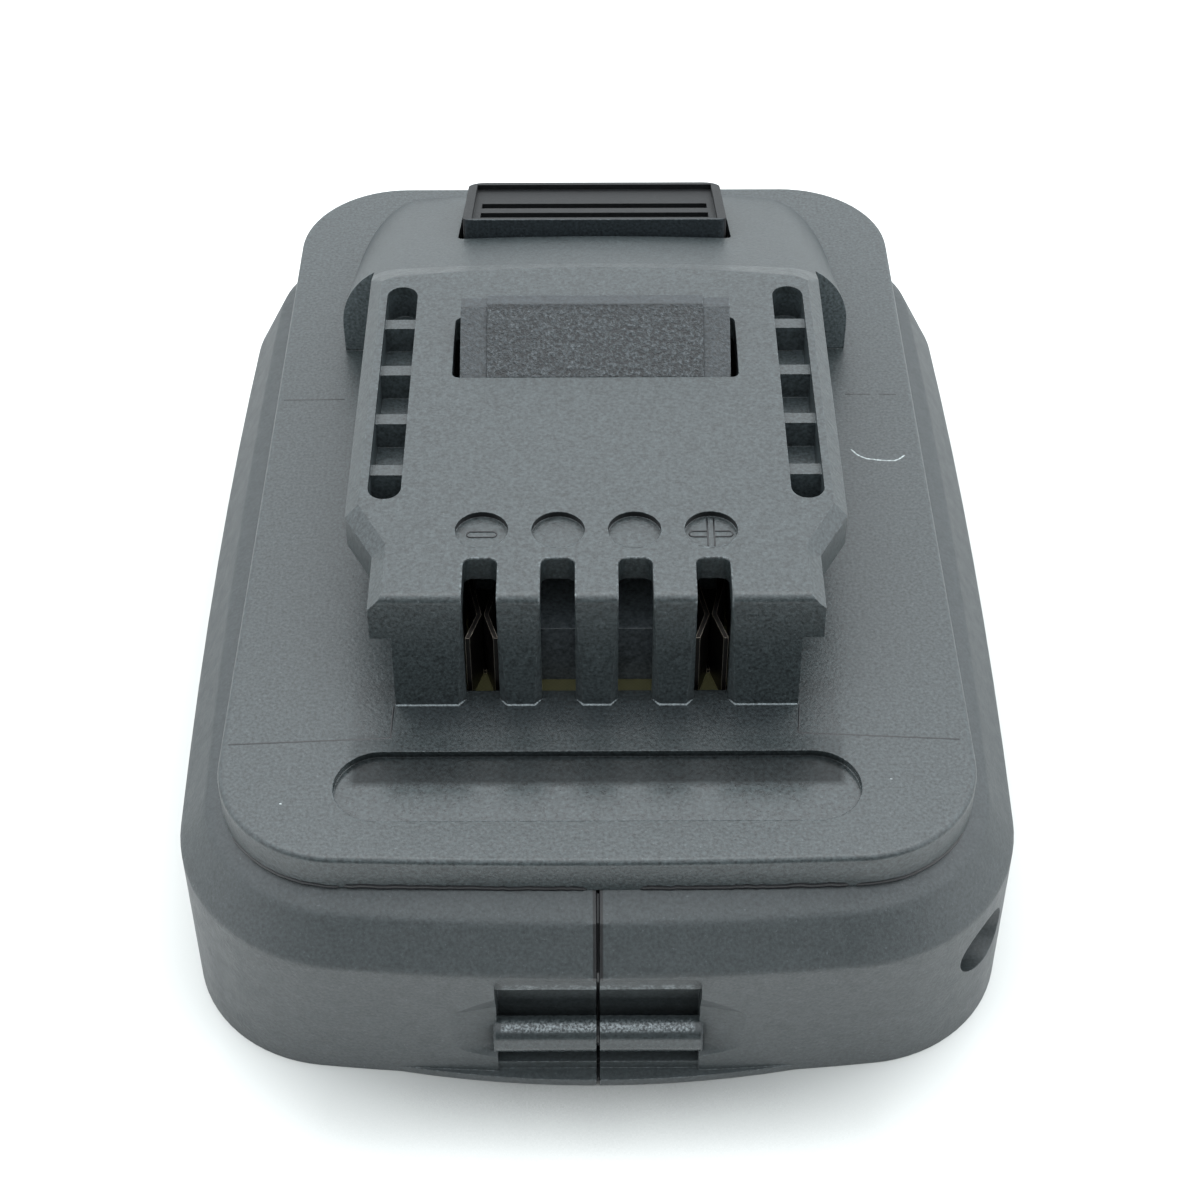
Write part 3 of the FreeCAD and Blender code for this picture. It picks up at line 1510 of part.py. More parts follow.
def write_parts(parts):
    os.makedirs("parts", exist_ok=True)
    for part in parts:
        part.Shape.exportStep(f"parts/{part.Label}.step")
        box = part.Shape.BoundBox
        print(f"{part.Label}: {len(part.Shape.Solids)} solids, {part.Shape.Volume:.0f} mm3, "
              f"x {box.XMin:.2f} {box.XMax:.2f} y {box.YMin:.2f} {box.YMax:.2f} "
              f"z {box.ZMin:.2f} {box.ZMax:.2f}")


all_parts = build_parts()
check_document(all_parts)
write_parts(all_parts)
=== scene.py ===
import math
import random

import bmesh
import bpy
from mathutils import Matrix, Vector


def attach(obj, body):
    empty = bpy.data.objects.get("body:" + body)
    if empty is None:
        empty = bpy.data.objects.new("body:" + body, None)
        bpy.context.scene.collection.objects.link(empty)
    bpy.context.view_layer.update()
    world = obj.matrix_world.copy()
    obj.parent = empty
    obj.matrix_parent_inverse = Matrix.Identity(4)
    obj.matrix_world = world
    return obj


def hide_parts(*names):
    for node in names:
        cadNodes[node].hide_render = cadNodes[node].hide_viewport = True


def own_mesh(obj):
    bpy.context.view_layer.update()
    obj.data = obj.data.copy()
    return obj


mm = 0.001  # in metres

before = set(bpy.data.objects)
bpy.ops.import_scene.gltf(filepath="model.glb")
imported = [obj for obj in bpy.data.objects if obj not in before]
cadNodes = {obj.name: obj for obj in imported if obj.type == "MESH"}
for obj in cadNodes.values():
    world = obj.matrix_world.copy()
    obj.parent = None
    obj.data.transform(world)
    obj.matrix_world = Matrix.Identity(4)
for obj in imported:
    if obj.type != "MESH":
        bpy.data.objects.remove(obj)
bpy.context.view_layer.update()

# Places that several pieces share. They are in millimetres, as all places and sizes below.
plateTop = 27.5
slotPitch = 7.87

noiseRange = (0.3, 0.7)  # nearly all values of a noise texture lie in here


# Shader helpers
def toLinear(hexColour):
    parts = [int(hexColour[i:i + 2], 16) / 255 for i in (1, 3, 5)]
    return [p / 12.92 if p <= 0.04045 else ((p + 0.055) / 1.055) ** 2.4 for p in parts] + [1.0]


def addNode(tree, kind, inputs=(), **settings):
    # inputs are a list in the node's own order, or a dictionary; a node among them gives its first output
    made = tree.nodes.new("ShaderNode" + kind)
    for name, value in settings.items():
        setattr(made, name, value)
    pairs = inputs.items() if isinstance(inputs, dict) else enumerate(inputs)
    for name, value in pairs:
        if isinstance(value, bpy.types.Node):
            value = value.outputs[0]
        if isinstance(value, bpy.types.NodeSocket):
            tree.links.new(value, made.inputs[name])
        else:
            made.inputs[name].default_value = value
    return made


def newMaterial(name):
    material = bpy.data.materials.new(name)
    material.use_nodes = True
    material.node_tree.nodes.clear()
    return material, material.node_tree


def placeInMillimetres(tree):
    # every object sits at the origin, so object coordinates are the part's own
    place = addNode(tree, "TexCoord").outputs["Object"]
    return addNode(tree, "VectorMath", [place, (1000, 1000, 1000)], operation="MULTIPLY")


def boxMask(tree, place, box):
    # 1 inside the box from low to high, 0 outside; None leaves a side open
    soft = box.get("soft", 0.05)
    parts = addNode(tree, "SeparateXYZ", [place]).outputs
    mask = None
    for axis in range(3):
        for edge, sign in ((box["low"][axis], 1), (box["high"][axis], -1)):
            if edge is None:
                continue
            ramp = addNode(tree, "MapRange", [parts[axis], edge - soft * sign, edge + soft * sign])
            mask = ramp if mask is None else addNode(tree, "Math", [mask, ramp], operation="MULTIPLY")
    return mask


# Moulded ABS, spark-eroded: the fine grain breaks its reflections into a soft grey sheen.
# Real grain of this kind is 0.05 to 0.1 mm wide. It is drawn at 0.4 mm, so that it shows.
mouldedLook = {
    "colour": "#2b3132",
    "wearAndHighlight": "#7c8486",           # pale colour of worn edges, painted sparkle and painted highlights
    "paintedPitShade": "#101314",
    "ior": 1.5,
    "specular": 0.5,
    "roughness": 0.36,
    "roughnessSpread": 0.04,
    "roughnessPatch": 1.6,
    "grainSize": 0.4,
    "grainHeight": 0.045,
    "waveSize": 11.0,            # slow waves where the wall sank as it cooled
    "waveHeight": 0.004,
    "mottle": 0.62,              # share by which the base colour goes up and down
    "mottleSize": 0.34,
    "mottleRange": (0.28, 0.72),
    # painted sparkle: pale flecks stand for the glints of the eroded grain
    "paintedSparkleSize": 0.28,
    "paintedSparkleRange": (0.66, 0.78),
    "paintedSparkleShare": 0.14,
    "pitRange": (0.55, 0.38),
    "paintedHighlightRange": (0.42, 0.6),
    "edgeRadius": 0.14,
    "edgeTurn": (0.985, 0.90),   # cosines where a rounded edge starts to turn pale: wear and painted highlight
    # share of paleness on rounded edges: partly wear, partly a painted highlight
    "edgeWearAndHighlight": 0.35,
    "wearSize": 0.5,
    "wearRange": (0.45, 0.62),
    "coarse": [],                # boxes with a deeper grain, with painted shade in its pits
    "smooth": [],                # boxes with their own gloss
    "rounded": [],               # boxes with a larger edge radius
    "paintedLightAndShade": [],                # boxes with painted light or shade in their own colour
    "paintedHighlight": [],                # boxes with painted highlights in pale patches
}

coverLook = {
    **mouldedLook,
    "smooth": [
        # floor of the pill-shaped recess: polished, duller below its rear wall
        {"low": (-27, -50, 26.5), "high": (27, -39.5, 27.2), "roughness": 0.19, "grainHeight": 0.006},
        {"low": (-25, -43.9, 20), "high": (25, -38, 27.4), "roughness": 0.34, "grainHeight": 0.02,
         "specular": 0.22, "soft": 0.5},
        # slope behind the deck
        {"low": (-31, 25, 27.6), "high": (31, 62, None), "roughness": 0.46, "grainHeight": 0.045},
    ],
    "rounded": [
        # fold between deck and slope, and rims of the contact slots
        {"low": (-31, 21.5, 41), "high": (31, 25.5, None), "radius": 1.4, "edgeWearAndHighlight": 0.0, "soft": 0.4},
        {"low": (-14.5, -34, 40.4), "high": (14.5, -24.5, None), "radius": 0.45, "edgeWearAndHighlight": 0.5,
         "soft": 0.4},
    ],
    "paintedLightAndShade": [
        # painted light: the vents' floors drawn lighter than their shade
        {"low": (-24.1, -17.9, 37.2), "high": (-20.3, 19.7, 41.0), "colour": "#343b3d"},
        {"low": (20.3, -17.9, 37.2), "high": (24.1, 19.7, 41.0), "colour": "#343b3d"},
        # painted light on the front walls of the hump, beside the deck
        {"low": (-30.7, 26.35, 27.7), "high": (-26.5, 26.6, 41.0), "colour": "#4b5355"},
        {"low": (26.5, 26.35, 27.7), "high": (30.7, 26.6, 41.0), "colour": "#4b5355"},
        # painted reflection and shade: rear band of the pill-shaped recess, rear walls of the inner dimples,
        # foot of the deck's front
        {"low": (-25, -43.9, 20), "high": (25, -30, 27.4), "colour": "#171b1c", "soft": 0.5},
        {"low": (-15, -22.2, 41.33), "high": (15, -19.4, 41.9), "colour": "#0b0d0e"},
        {"low": (-19, -37.2, 27.4), "high": (19, -32.5, 27.7), "colour": "#12161a", "soft": 1.4},
    ],
}

housingLook = {
    **mouldedLook,
    "colour": "#2b3031",
    "roughness": 0.5,
    "grainSize": 0.42,
    "grainHeight": 0.05,
    "mottle": 0.35,
    "smooth": [
        # bar in the window, polished by the strap
        {"low": (-10.4, None, 3.2), "high": (10.4, -58.35, 8.0), "roughness": 0.22, "grainHeight": 0.012},
    ],
    "rounded": [
        # crease between wall and shoulder, on both sides of the seam
        {"low": (None, None, 16.2), "high": (-1.2, None, 22.8), "radius": 1.2, "edgeWearAndHighlight": 0.04, "soft": 0.4},
        {"low": (1.2, None, 16.2), "high": (None, None, 22.8), "radius": 1.2, "edgeWearAndHighlight": 0.04, "soft": 0.4},
    ],
    "paintedLightAndShade": [
        # shade of the seam where it crosses the shoulder
        {"low": (-0.5, None, 16.6), "high": (0.5, None, 23.5), "colour": "#08090a"},
    ],
    "paintedHighlight": [
        # painted highlights along the top of the bar and on the window's upper lip
        {"low": (-9.8, None, 7.28), "high": (9.8, -58.8, 7.75), "size": 0.25, "share": 0.9, "soft": 0.12},
        {"low": (-9.6, None, 13.75), "high": (9.6, -58.9, 14.6), "size": 0.5, "share": 0.3, "soft": 0.12},
    ],
}

latchLook = {
    **mouldedLook,
    "colour": "#21272a",
    "roughness": 0.5,
    "coarse": [
        # ramp of the hook, and the plainer strips beside it
        {"low": (-12.15, 3.0, 40.5), "high": (12.15, 11.2, None), "size": 0.42, "height": 0.3,
         "pitShade": 1.0},
        {"low": (-15.3, 3.0, 40.5), "high": (15.3, 11.2, None), "size": 0.4, "height": 0.08,
         "pitShade": 0.6},
    ],
    "smooth": [
        # thumb pad
        {"low": (-17, 36, 28), "high": (17, 57.5, None), "roughness": 0.6, "grainHeight": 0.05,
         "specular": 0.3},
    ],
    "paintedLightAndShade": [
        # painted shade on the grooved face of the thumb pad
        {"low": (-17, 38.5, 28), "high": (17, 57.5, None), "colour": "#0d0f10"},
    ],
    "paintedHighlight": [
        # painted sparkle on the tips of the grain on the ramp and the strips
        {"low": (-12.15, 3.0, 40.5), "high": (12.15, 11.2, 45.5), "size": 0.36, "share": 0.14, "soft": 0.12},
        {"low": (-15.3, 3.0, 40.5), "high": (15.3, 11.2, 45.5), "size": 0.36, "share": 0.05, "soft": 0.12},
    ],
}

# Moulded PBT: denser than the ABS, with a plain dark surface almost without grain
blockLook = {
    **mouldedLook,
    "colour": "#0e0f11",
    "wearAndHighlight": "#1d2022",
    "grainHeight": 0.006,
    "paintedSparkleShare": 0.0,
    "edgeWearAndHighlight": 0.2,
}


def mouldedPlastic(name, look):
    material, tree = newMaterial(name)
    place = placeInMillimetres(tree)
    grain = addNode(tree, "TexNoise", {"Vector": place, "Scale": 1 / look["grainSize"], "Detail": 3,
                                       "Roughness": 0.7})
    wave = addNode(tree, "TexNoise", {"Vector": place, "Scale": 1 / look["waveSize"], "Detail": 1})

    # gloss, and the height of the grain
    patch = addNode(tree, "TexNoise", {"Vector": place, "Scale": 1 / look["roughnessPatch"]})
    spread = look["roughnessSpread"]
    roughness = addNode(tree, "MapRange", [patch, *noiseRange, look["roughness"] - spread,
                                           look["roughness"] + spread])
    grainHeight, specular = look["grainHeight"], look["specular"]
    for box in look["smooth"]:
        inside = boxMask(tree, place, box)
        roughness = addNode(tree, "Mix", {0: inside, 2: roughness, 3: box["roughness"]})
        grainHeight = addNode(tree, "Mix", {0: inside, 2: grainHeight, 3: box["grainHeight"]})
        if "specular" in box:
            specular = addNode(tree, "Mix", {0: inside, 2: specular, 3: box["specular"]})
    height = addNode(tree, "Math", [grain, grainHeight], operation="MULTIPLY")
    height = addNode(tree, "Math", [wave, look["waveHeight"], height], operation="MULTIPLY_ADD")
    shade = 0.0
    for box in look["coarse"]:
        inside = boxMask(tree, place, box)
        rough = addNode(tree, "TexNoise", {"Vector": place, "Scale": 1 / box["size"], "Detail": 3,
                                           "Roughness": 0.75})
        lift = addNode(tree, "Math", [rough, inside], operation="MULTIPLY")
        height = addNode(tree, "Math", [lift, box["height"], height], operation="MULTIPLY_ADD")
        # painted shade in the grain's pits
        pits = addNode(tree, "MapRange", [rough, *look["pitRange"]])
        pits = addNode(tree, "Math", [pits, inside], operation="MULTIPLY")
        shade = addNode(tree, "Math", [pits, box["pitShade"], shade], operation="MULTIPLY_ADD")

    # rounded edges, and how far the surface turns there
    radius, edgeWearAndHighlight = look["edgeRadius"] * mm, look["edgeWearAndHighlight"]
    for box in look["rounded"]:
        inside = boxMask(tree, place, box)
        edgeWearAndHighlight = addNode(tree, "Mix", {0: inside, 2: edgeWearAndHighlight, 3: box["edgeWearAndHighlight"]})
        radius = addNode(tree, "Mix", {0: inside, 2: radius, 3: box["radius"] * mm})
    soft = addNode(tree, "Bevel", {"Radius": radius}, samples=6)
    height = addNode(tree, "Math", [height, mm], operation="MULTIPLY")
    bump = addNode(tree, "Bump", {"Height": height, "Normal": soft, "Strength": 1.0, "Distance": 1.0})
    flat = addNode(tree, "NewGeometry").outputs["Normal"]
    turned = addNode(tree, "VectorMath", [soft, flat], operation="DOT_PRODUCT").outputs["Value"]

    # edges paler partly by wear and partly as a painted highlight, painted sparkle flecks, painted highlight
    # patches
    edge = addNode(tree, "MapRange", [turned, *look["edgeTurn"]])
    chips = addNode(tree, "TexNoise", {"Vector": place, "Scale": 1 / look["wearSize"], "Detail": 3})
    chips = addNode(tree, "MapRange", [chips, *look["wearRange"]])
    wearAndHighlight = addNode(tree, "Math", [edge, chips], operation="MULTIPLY")
    wearAndHighlight = addNode(tree, "Math", [wearAndHighlight, edgeWearAndHighlight], operation="MULTIPLY")
    # painted sparkle in pale flecks
    paintedSparkles = addNode(tree, "TexNoise", {"Vector": place, "Scale": 1 / look["paintedSparkleSize"]})
    paintedSparkles = addNode(tree, "MapRange", [paintedSparkles, *look["paintedSparkleRange"]])
    pale = addNode(tree, "Math", [paintedSparkles, look["paintedSparkleShare"], wearAndHighlight], operation="MULTIPLY_ADD", use_clamp=True)
    # painted highlights: pale patches inside boxes
    for box in look["paintedHighlight"]:
        inside = boxMask(tree, place, box)
        patches = addNode(tree, "TexNoise", {"Vector": place, "Scale": 1 / box["size"], "Detail": 3,
                                             "Roughness": 0.65})
        patches = addNode(tree, "MapRange", [patches, *look["paintedHighlightRange"]])
        patches = addNode(tree, "Math", [patches, inside], operation="MULTIPLY")
        pale = addNode(tree, "Math", [patches, box["share"], pale], operation="MULTIPLY_ADD", use_clamp=True)

    base = addNode(tree, "Mix", {0: pale, 6: toLinear(look["colour"]), 7: toLinear(look["wearAndHighlight"])},
                   data_type="RGBA").outputs[2]
    # painted light and shade, box by box
    for box in look["paintedLightAndShade"]:
        inside = boxMask(tree, place, box)
        base = addNode(tree, "Mix", {0: inside, 6: base, 7: toLinear(box["colour"])},
                       data_type="RGBA").outputs[2]
    # painted shade in the pits of the coarse grain
    if look["coarse"]:
        base = addNode(tree, "Mix", {0: shade, 6: base, 7: toLinear(look["paintedPitShade"])},
                       data_type="RGBA").outputs[2]
    mottle = addNode(tree, "TexNoise", {"Vector": place, "Scale": 1 / look["mottleSize"],
                                        "Roughness": 0.6})
    mottle = addNode(tree, "MapRange", [mottle, *look["mottleRange"], 1 - look["mottle"],
                                        1 + look["mottle"]])
    base = addNode(tree, "VectorMath", {0: base, 3: mottle}, operation="SCALE")
    shader = addNode(tree, "BsdfPrincipled", {"Base Color": base, "Roughness": roughness,
                                              "IOR": look["ior"], "Specular IOR Level": specular,
                                              "Normal": bump})
    addNode(tree, "OutputMaterial", {"Surface": shader})
    return material


# Lines of drawing or stamping are some hundredths of a millimetre apart. They are drawn at 0.3 mm.
metalLook = {"lineSize": 0.3, "lineHeight": 0.002, "dullPatch": 2.5, "dullRange": (0.35, 0.7),
             "dullSpread": 0.14, "edgeRadius": 0.12, "edgeTurn": (0.99, 0.9)}


def plainMetal(name, colour, roughness, stretch=(1, 1, 1), edge=None):
    # the lines run along the axis that stretch makes smaller; edge is the colour of a painted highlight along
    # the edges
    look = metalLook
    material, tree = newMaterial(name)
    place = placeInMillimetres(tree)
    drawn = addNode(tree, "VectorMath", [place, stretch], operation="MULTIPLY")
    lines = addNode(tree, "TexNoise", {"Vector": drawn, "Scale": 1 / look["lineSize"]})
    height = addNode(tree, "Math", [lines, look["lineHeight"] * mm], operation="MULTIPLY")
    bump = addNode(tree, "Bump", {"Height": height, "Strength": 1.0, "Distance": 1.0})
    dull = addNode(tree, "TexNoise", {"Vector": place, "Scale": 1 / look["dullPatch"], "Detail": 3})
    dull = addNode(tree, "MapRange", [dull, *look["dullRange"], roughness, roughness + look["dullSpread"]])
    base = toLinear(colour)
    if edge:
        # painted highlight along the edges
        soft = addNode(tree, "Bevel", {"Radius": look["edgeRadius"] * mm}, samples=8)
        flat = addNode(tree, "NewGeometry").outputs["Normal"]
        turned = addNode(tree, "VectorMath", [soft, flat], operation="DOT_PRODUCT").outputs["Value"]
        paintedHighlight = addNode(tree, "MapRange", [turned, *look["edgeTurn"]])
        base = addNode(tree, "Mix", {0: paintedHighlight, 6: base, 7: toLinear(edge)}, data_type="RGBA").outputs[2]
    shader = addNode(tree, "BsdfPrincipled", {"Base Color": base, "Metallic": 1.0, "Roughness": dull,
                                              "Normal": bump})
    addNode(tree, "OutputMaterial", {"Surface": shader})
    return material


# Soft PVC: smooth and slightly waxy
insulationLook = {"patch": 1.2, "glossiest": 0.32, "dullest": 0.45, "ior": 1.53}


def insulation(name, colour):
    look = insulationLook
    material, tree = newMaterial(name)
    dull = addNode(tree, "TexNoise", {"Vector": placeInMillimetres(tree), "Scale": 1 / look["patch"]})
    dull = addNode(tree, "MapRange", [dull, *noiseRange, look["glossiest"], look["dullest"]])
    shader = addNode(tree, "BsdfPrincipled", {"Base Color": toLinear(colour), "Roughness": dull,
                                              "IOR": look["ior"]})
    addNode(tree, "OutputMaterial", {"Surface": shader})
    return material


# Glass fibre laminate: yellow green, darkened as painted shade of the slots, with the weave of the glass
# faintly visible
boardLook = {"resin": "#4d4c30", "glass": "#63614a", "glassShare": 0.25, "weavePitch": 0.5,
             "roughness": 0.38, "ior": 1.55}


def glassFibreBoard(name):
    look = boardLook
    material, tree = newMaterial(name)
    parts = addNode(tree, "SeparateXYZ", [placeInMillimetres(tree)]).outputs
    threads = []
    for axis in (0, 1):
        phase = addNode(tree, "Math", [parts[axis], 2 * math.pi / look["weavePitch"]], operation="MULTIPLY")
        threads.append(addNode(tree, "Math", [phase], operation="SINE"))
    weave = addNode(tree, "Math", threads, operation="MULTIPLY")
    weave = addNode(tree, "MapRange", [weave, -1, 1, 0, look["glassShare"]])
    colour = addNode(tree, "Mix", {0: weave, 6: toLinear(look["resin"]), 7: toLinear(look["glass"])},
                     data_type="RGBA").outputs[2]
    shader = addNode(tree, "BsdfPrincipled", {"Base Color": colour, "Roughness": look["roughness"],
                                              "IOR": look["ior"]})
    addNode(tree, "OutputMaterial", {"Surface": shader})
    return material


def makeMaterials():
    return {
        # ABS: dark with a grey sheen, paler where it is torn or scratched
        "cover": mouldedPlastic("ABS, spark-eroded, cover", coverLook),
        "housing": mouldedPlastic("ABS, spark-eroded, housing", housingLook),
        "latch": mouldedPlastic("ABS, spark-eroded, latch", latchLook),
        "burr": mouldedPlastic("ABS, torn edge", {**mouldedLook, "colour": "#5f6668"}),
        "scuff": mouldedPlastic("ABS, scuffed pale", {**mouldedLook, "colour": "#8c9494"}),
        # PBT: black and plain; grey behind the slots as painted light that lifts their shade
        "block": mouldedPlastic("PBT, moulded", blockLook),
        "carrier": mouldedPlastic("PBT, grey, painted light behind the slots", {**blockLook, "colour": "#3b4144"}),
        # round wire: bright, with a narrow highlight along each coil
        "spring": plainMetal("spring steel, drawn", "#9da1a6", 0.24),
        # sheet: colour darkened as painted shade of the slots, with a painted highlight along its cut edges
        "contact": plainMetal("copper alloy, tinned", "#4a4744", 0.36, edge="#d9cfc0"),
        # yellow, with faint lines along each blade
        "blade": plainMetal("brass, stamped", "#c9a45c", 0.26, stretch=(1, 0.1, 1)),
        # even grey, duller than the wire
        "screw": plainMetal("steel, zinc plated", "#6e7278", 0.33),
        "board": glassFibreBoard("glass fibre laminate"),
        "blackLead": insulation("PVC, black", "#141416"),
        "redLead": insulation("PVC, red", "#a01812"),
    }


def assignMaterials(materials):
    wanted = {
        "cover": ["upper_cover"],
        "housing": ["housing_left", "housing_right"],
        "latch": ["release_latch"],
        "block": ["terminal_block"],
        "carrier": ["contact_carrier"],
        "board": ["circuit_board"],
        "spring": ["latch_spring_left", "latch_spring_right"],
        "contact": ["contact_negative", "contact_positive", "terminal_negative", "terminal_positive"],
        "blade": ["blade_negative", "blade_positive"],
        "blackLead": ["lead_negative"],
        "redLead": ["lead_positive"],
        "screw": ["cover_screws", "side_screws", "block_screws", "board_screws"],
    }
    for key, names in wanted.items():
        for name in names:
            mesh = cadNodes[name].data
            mesh.materials.clear()
            mesh.materials.append(materials[key])


# Detail pieces
def makePiece(name, bm, material, body="adapter", stands=None):
    mesh = bpy.data.meshes.new(name)
    bm.to_mesh(mesh)
    bm.free()
    piece = bpy.data.objects.new(name, mesh)
    bpy.context.scene.collection.objects.link(piece)
    mesh.materials.append(material)
    if stands:
        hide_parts(stands)
    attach(piece, body)
    return piece


# section of a welt: shares of its width and height
weltProfile = ((-0.5, -0.15), (-0.3, 0.7), (0.0, 1.0), (0.3, 0.7), (0.5, -0.15))
weltEnd = 0.25      # an open end is this share of the full section
weltMitre = 0.4     # keeps the section from growing too wide in sharp corners


def addWelt(bm, path, width, height, up=(0, 0, 1)):
    # a low rounded welt along points in millimetres, closed where the path ends at its start
    points = [Vector(point) for point in path]
    up = Vector(up)
    closed = (points[0] - points[-1]).length < 1e-6
    if closed:
        points.pop()
    else:
        points.insert(1, points[0] + (points[1] - points[0]).normalized() * width / 2)
        points.insert(-1, points[-1] + (points[-2] - points[-1]).normalized() * width / 2)
    count = len(points)
    rows = []
    for number, point in enumerate(points):
        before = points[number - 1] if closed or number else None
        after = points[(number + 1) % count] if closed or number < count - 1 else None
        into = (point - before).normalized() if before is not None else (after - point).normalized()
        out = (after - point).normalized() if after is not None else into
        along = (into + out).normalized()
        side = up.cross(along).normalized() / max(along.dot(into), weltMitre)
        share = 1.0 if before is not None and after is not None else weltEnd
        rows.append([bm.verts.new((point + side * (w * width * share) + up * (h * height * share)) * mm)
                     for w, h in weltProfile])
    following = rows[1:] + (rows[:1] if closed else [])
    for first, second in zip(rows, following):
        for number in range(len(weltProfile) - 1):
            bm.faces.new((first[number], second[number], second[number + 1], first[number + 1]))
    for face in bm.faces:
        face.smooth = True


def sweepTube(bm, points, radius, sides):
    # a round tube along points in millimetres, with flat ends
    points = [Vector(point) for point in points]
    across = None
    rings = []
    for number, point in enumerate(points):
        along = (points[min(number + 1, len(points) - 1)] - points[max(number - 1, 0)]).normalized()
        if across is None:
            across = along.orthogonal().normalized()
        across = (across - along * across.dot(along)).normalized()
        other = along.cross(across)
        ring = []
        for step in range(sides):
            turn = 2 * math.pi * step / sides
            way = across * math.cos(turn) + other * math.sin(turn)
            ring.append(bm.verts.new((point + way * radius) * mm))
        rings.append(ring)
    for first, second in zip(rings, rings[1:]):
        for step in range(sides):
            after = (step + 1) % sides
            bm.faces.new((first[step], first[after], second[after], second[step])).smooth = True
    bm.faces.new(list(reversed(rings[0])))
    bm.faces.new(rings[-1])


# Tongue of the clamshell's seam: it keeps the light out of the gap between the halves
seamLook = {
    "half": 0.15,
    # outlines in Y and Z
    "front": [(-61.0, 0.1), (-61.0, 0.55), (-59.3, 0.7), (-59.3, 1.6), (-56.1, 1.6), (-56.1, 14.3),
              (-59.1, 14.3), (-59.1, 16.9), (-60.2, 17.2), (-57.2, 21.3), (-54.6, 22.7), (-53.9, 22.7),
              (-53.9, 9.4), (-38.6, 9.4), (-38.6, 0.4), (-53.9, 0.1)],
    "bar": [(-58.6, 7.3), (-59.3, 7.1), (-59.9, 6.5), (-60.15, 5.6), (-59.9, 4.7), (-59.3, 4.1),
            (-58.6, 3.9)],
    "floor": [(-38.6, 10.5), (28.9, 10.5), (28.9, 12.1), (-38.6, 12.1)],
    "pocket": [(29.1, 10.5), (31.1, 10.5), (31.1, 15.9), (39.9, 15.9), (39.9, 10.5), (41.9, 10.5),
               (41.9, 17.1), (29.1, 17.1)],
    "rearFloor": [(42.1, 10.5), (52.4, 10.5), (52.4, 12.1), (42.1, 12.1)],
    "rear": [(52.6, 10.4), (58.2, 10.4), (58.5, 17.0), (57.0, 19.6), (54.5, 19.9), (52.6, 19.9)],
}


def makeSeamTongue(materials):
    bm = bmesh.new()
    half = seamLook["half"]
    for part in ("front", "bar", "floor", "pocket", "rearFloor", "rear"):
        outline = seamLook[part]
        left = [bm.verts.new(Vector((-half, y, z)) * mm) for y, z in outline]
        right = [bm.verts.new(Vector((half, y, z)) * mm) for y, z in outline]
        bm.faces.new(left)
        bm.faces.new(list(reversed(right)))
        for number in range(len(outline)):
            after = (number + 1) % len(outline)
            bm.faces.new((left[number], right[number], right[after], left[after]))
    bmesh.ops.recalc_face_normals(bm, faces=bm.faces)
    makePiece("seamTongue", bm, materials["block"])


# Polarity marks in the outer dimples: thin raised outlines in the dark block colour, painted shade standing
# for the marks' grooves
marksLook = {
    "minus": (-1.5 * slotPitch, -22.5, 41.3),
    "plus": (1.5 * slotPitch, -22.5, 41.3),
    "width": 0.17,
    "height": 0.12,
    "halfBar": 0.42,
    "minusReach": 1.12,
    "plusReach": 1.82,
    "halfStem": 0.34,
    "stemBack": 1.9,
    "stemAhead": 2.4,
    "endSteps": 8,
}


def barEnd(centre, radius, firstTurn, lastTurn):
    points = []
    for step in range(marksLook["endSteps"] + 1):
        turn = math.radians(firstTurn + (lastTurn - firstTurn) * step / marksLook["endSteps"])
        points.append((centre[0] + radius * math.cos(turn), centre[1] + radius * math.sin(turn), centre[2]))
    return points


def makePolarityMarks(materials):
    look = marksLook
    width, height, r, stem = look["width"], look["height"], look["halfBar"], look["halfStem"]
    bm = bmesh.new()
    x, y, level = look["minus"]
    reach = look["minusReach"]
    minus = barEnd((x + reach, y, level), r, -90, 90) + barEnd((x - reach, y, level), r, 90, 270)
    addWelt(bm, minus + minus[:1], width, height)
    x, y, level = look["plus"]
    reach = look["plusReach"]
    for hand, side in ((1, 0), (-1, 180)):
        arm = [(x + hand * stem, y - hand * r, level)]
        arm += barEnd((x + hand * reach, y, level), r, side - 90, side + 90)
        arm += [(x + hand * stem, y + hand * r, level)]
        addWelt(bm, arm, width, height)
    for hand in (1, -1):
        upright = x + hand * stem
        addWelt(bm, [(upright, y - look["stemBack"], level), (upright, y + look["stemAhead"], level)],
                width, height)
    makePiece("polarityMarks", bm, materials["block"])


# Witness lines where the mould's inserts met, on the plate
witnessLook = {
    "width": 0.2,
    "height": 0.05,
    "paths": [
        [(-37.2, 16.8), (-29.9, 16.9)],
        [(29.9, 17.6), (33.0, 17.6)],
        [(33.9, 17.6), (36.1, 17.55)],
        [(-37.6, -39.0), (-21.1, -38.15), (-21.05, -33.6)],
        [(37.1, -38.6), (20.6, -37.6), (21.0, -33.6)],
    ],
}

# Ragged flash below the plate's front edge, which is an arc, and round its corners; its dark block colour is
# painted shade under the edge
flashWithPaintedShadeLook = {
    "runs": ((-25.0, -1.0), (4.2, 25.0)),
    "front": -54.75,        # Y in the middle of the arc
    "frontRadius": 700,
    "sunk": 0.02,
    "level": 23.5,
    "rise": 0.22,
    "shortest": 0.35,
    "longest": 1.1,
    "width": 0.7,
    "height": 0.12,
    "cornerX": 25.4,
    "cornerY": -41.29,
    "cornerRadius": 13.02,
    "cornerTurn": 60,
    "cornerOut": (0.5, -0.87, 0),
    "cornerSteps": 12,
    "cornerLevel": 23.45,
    "cornerRise": 0.15,
    "cornerWidth": 0.5,
    "cornerHeight": 0.1,
}


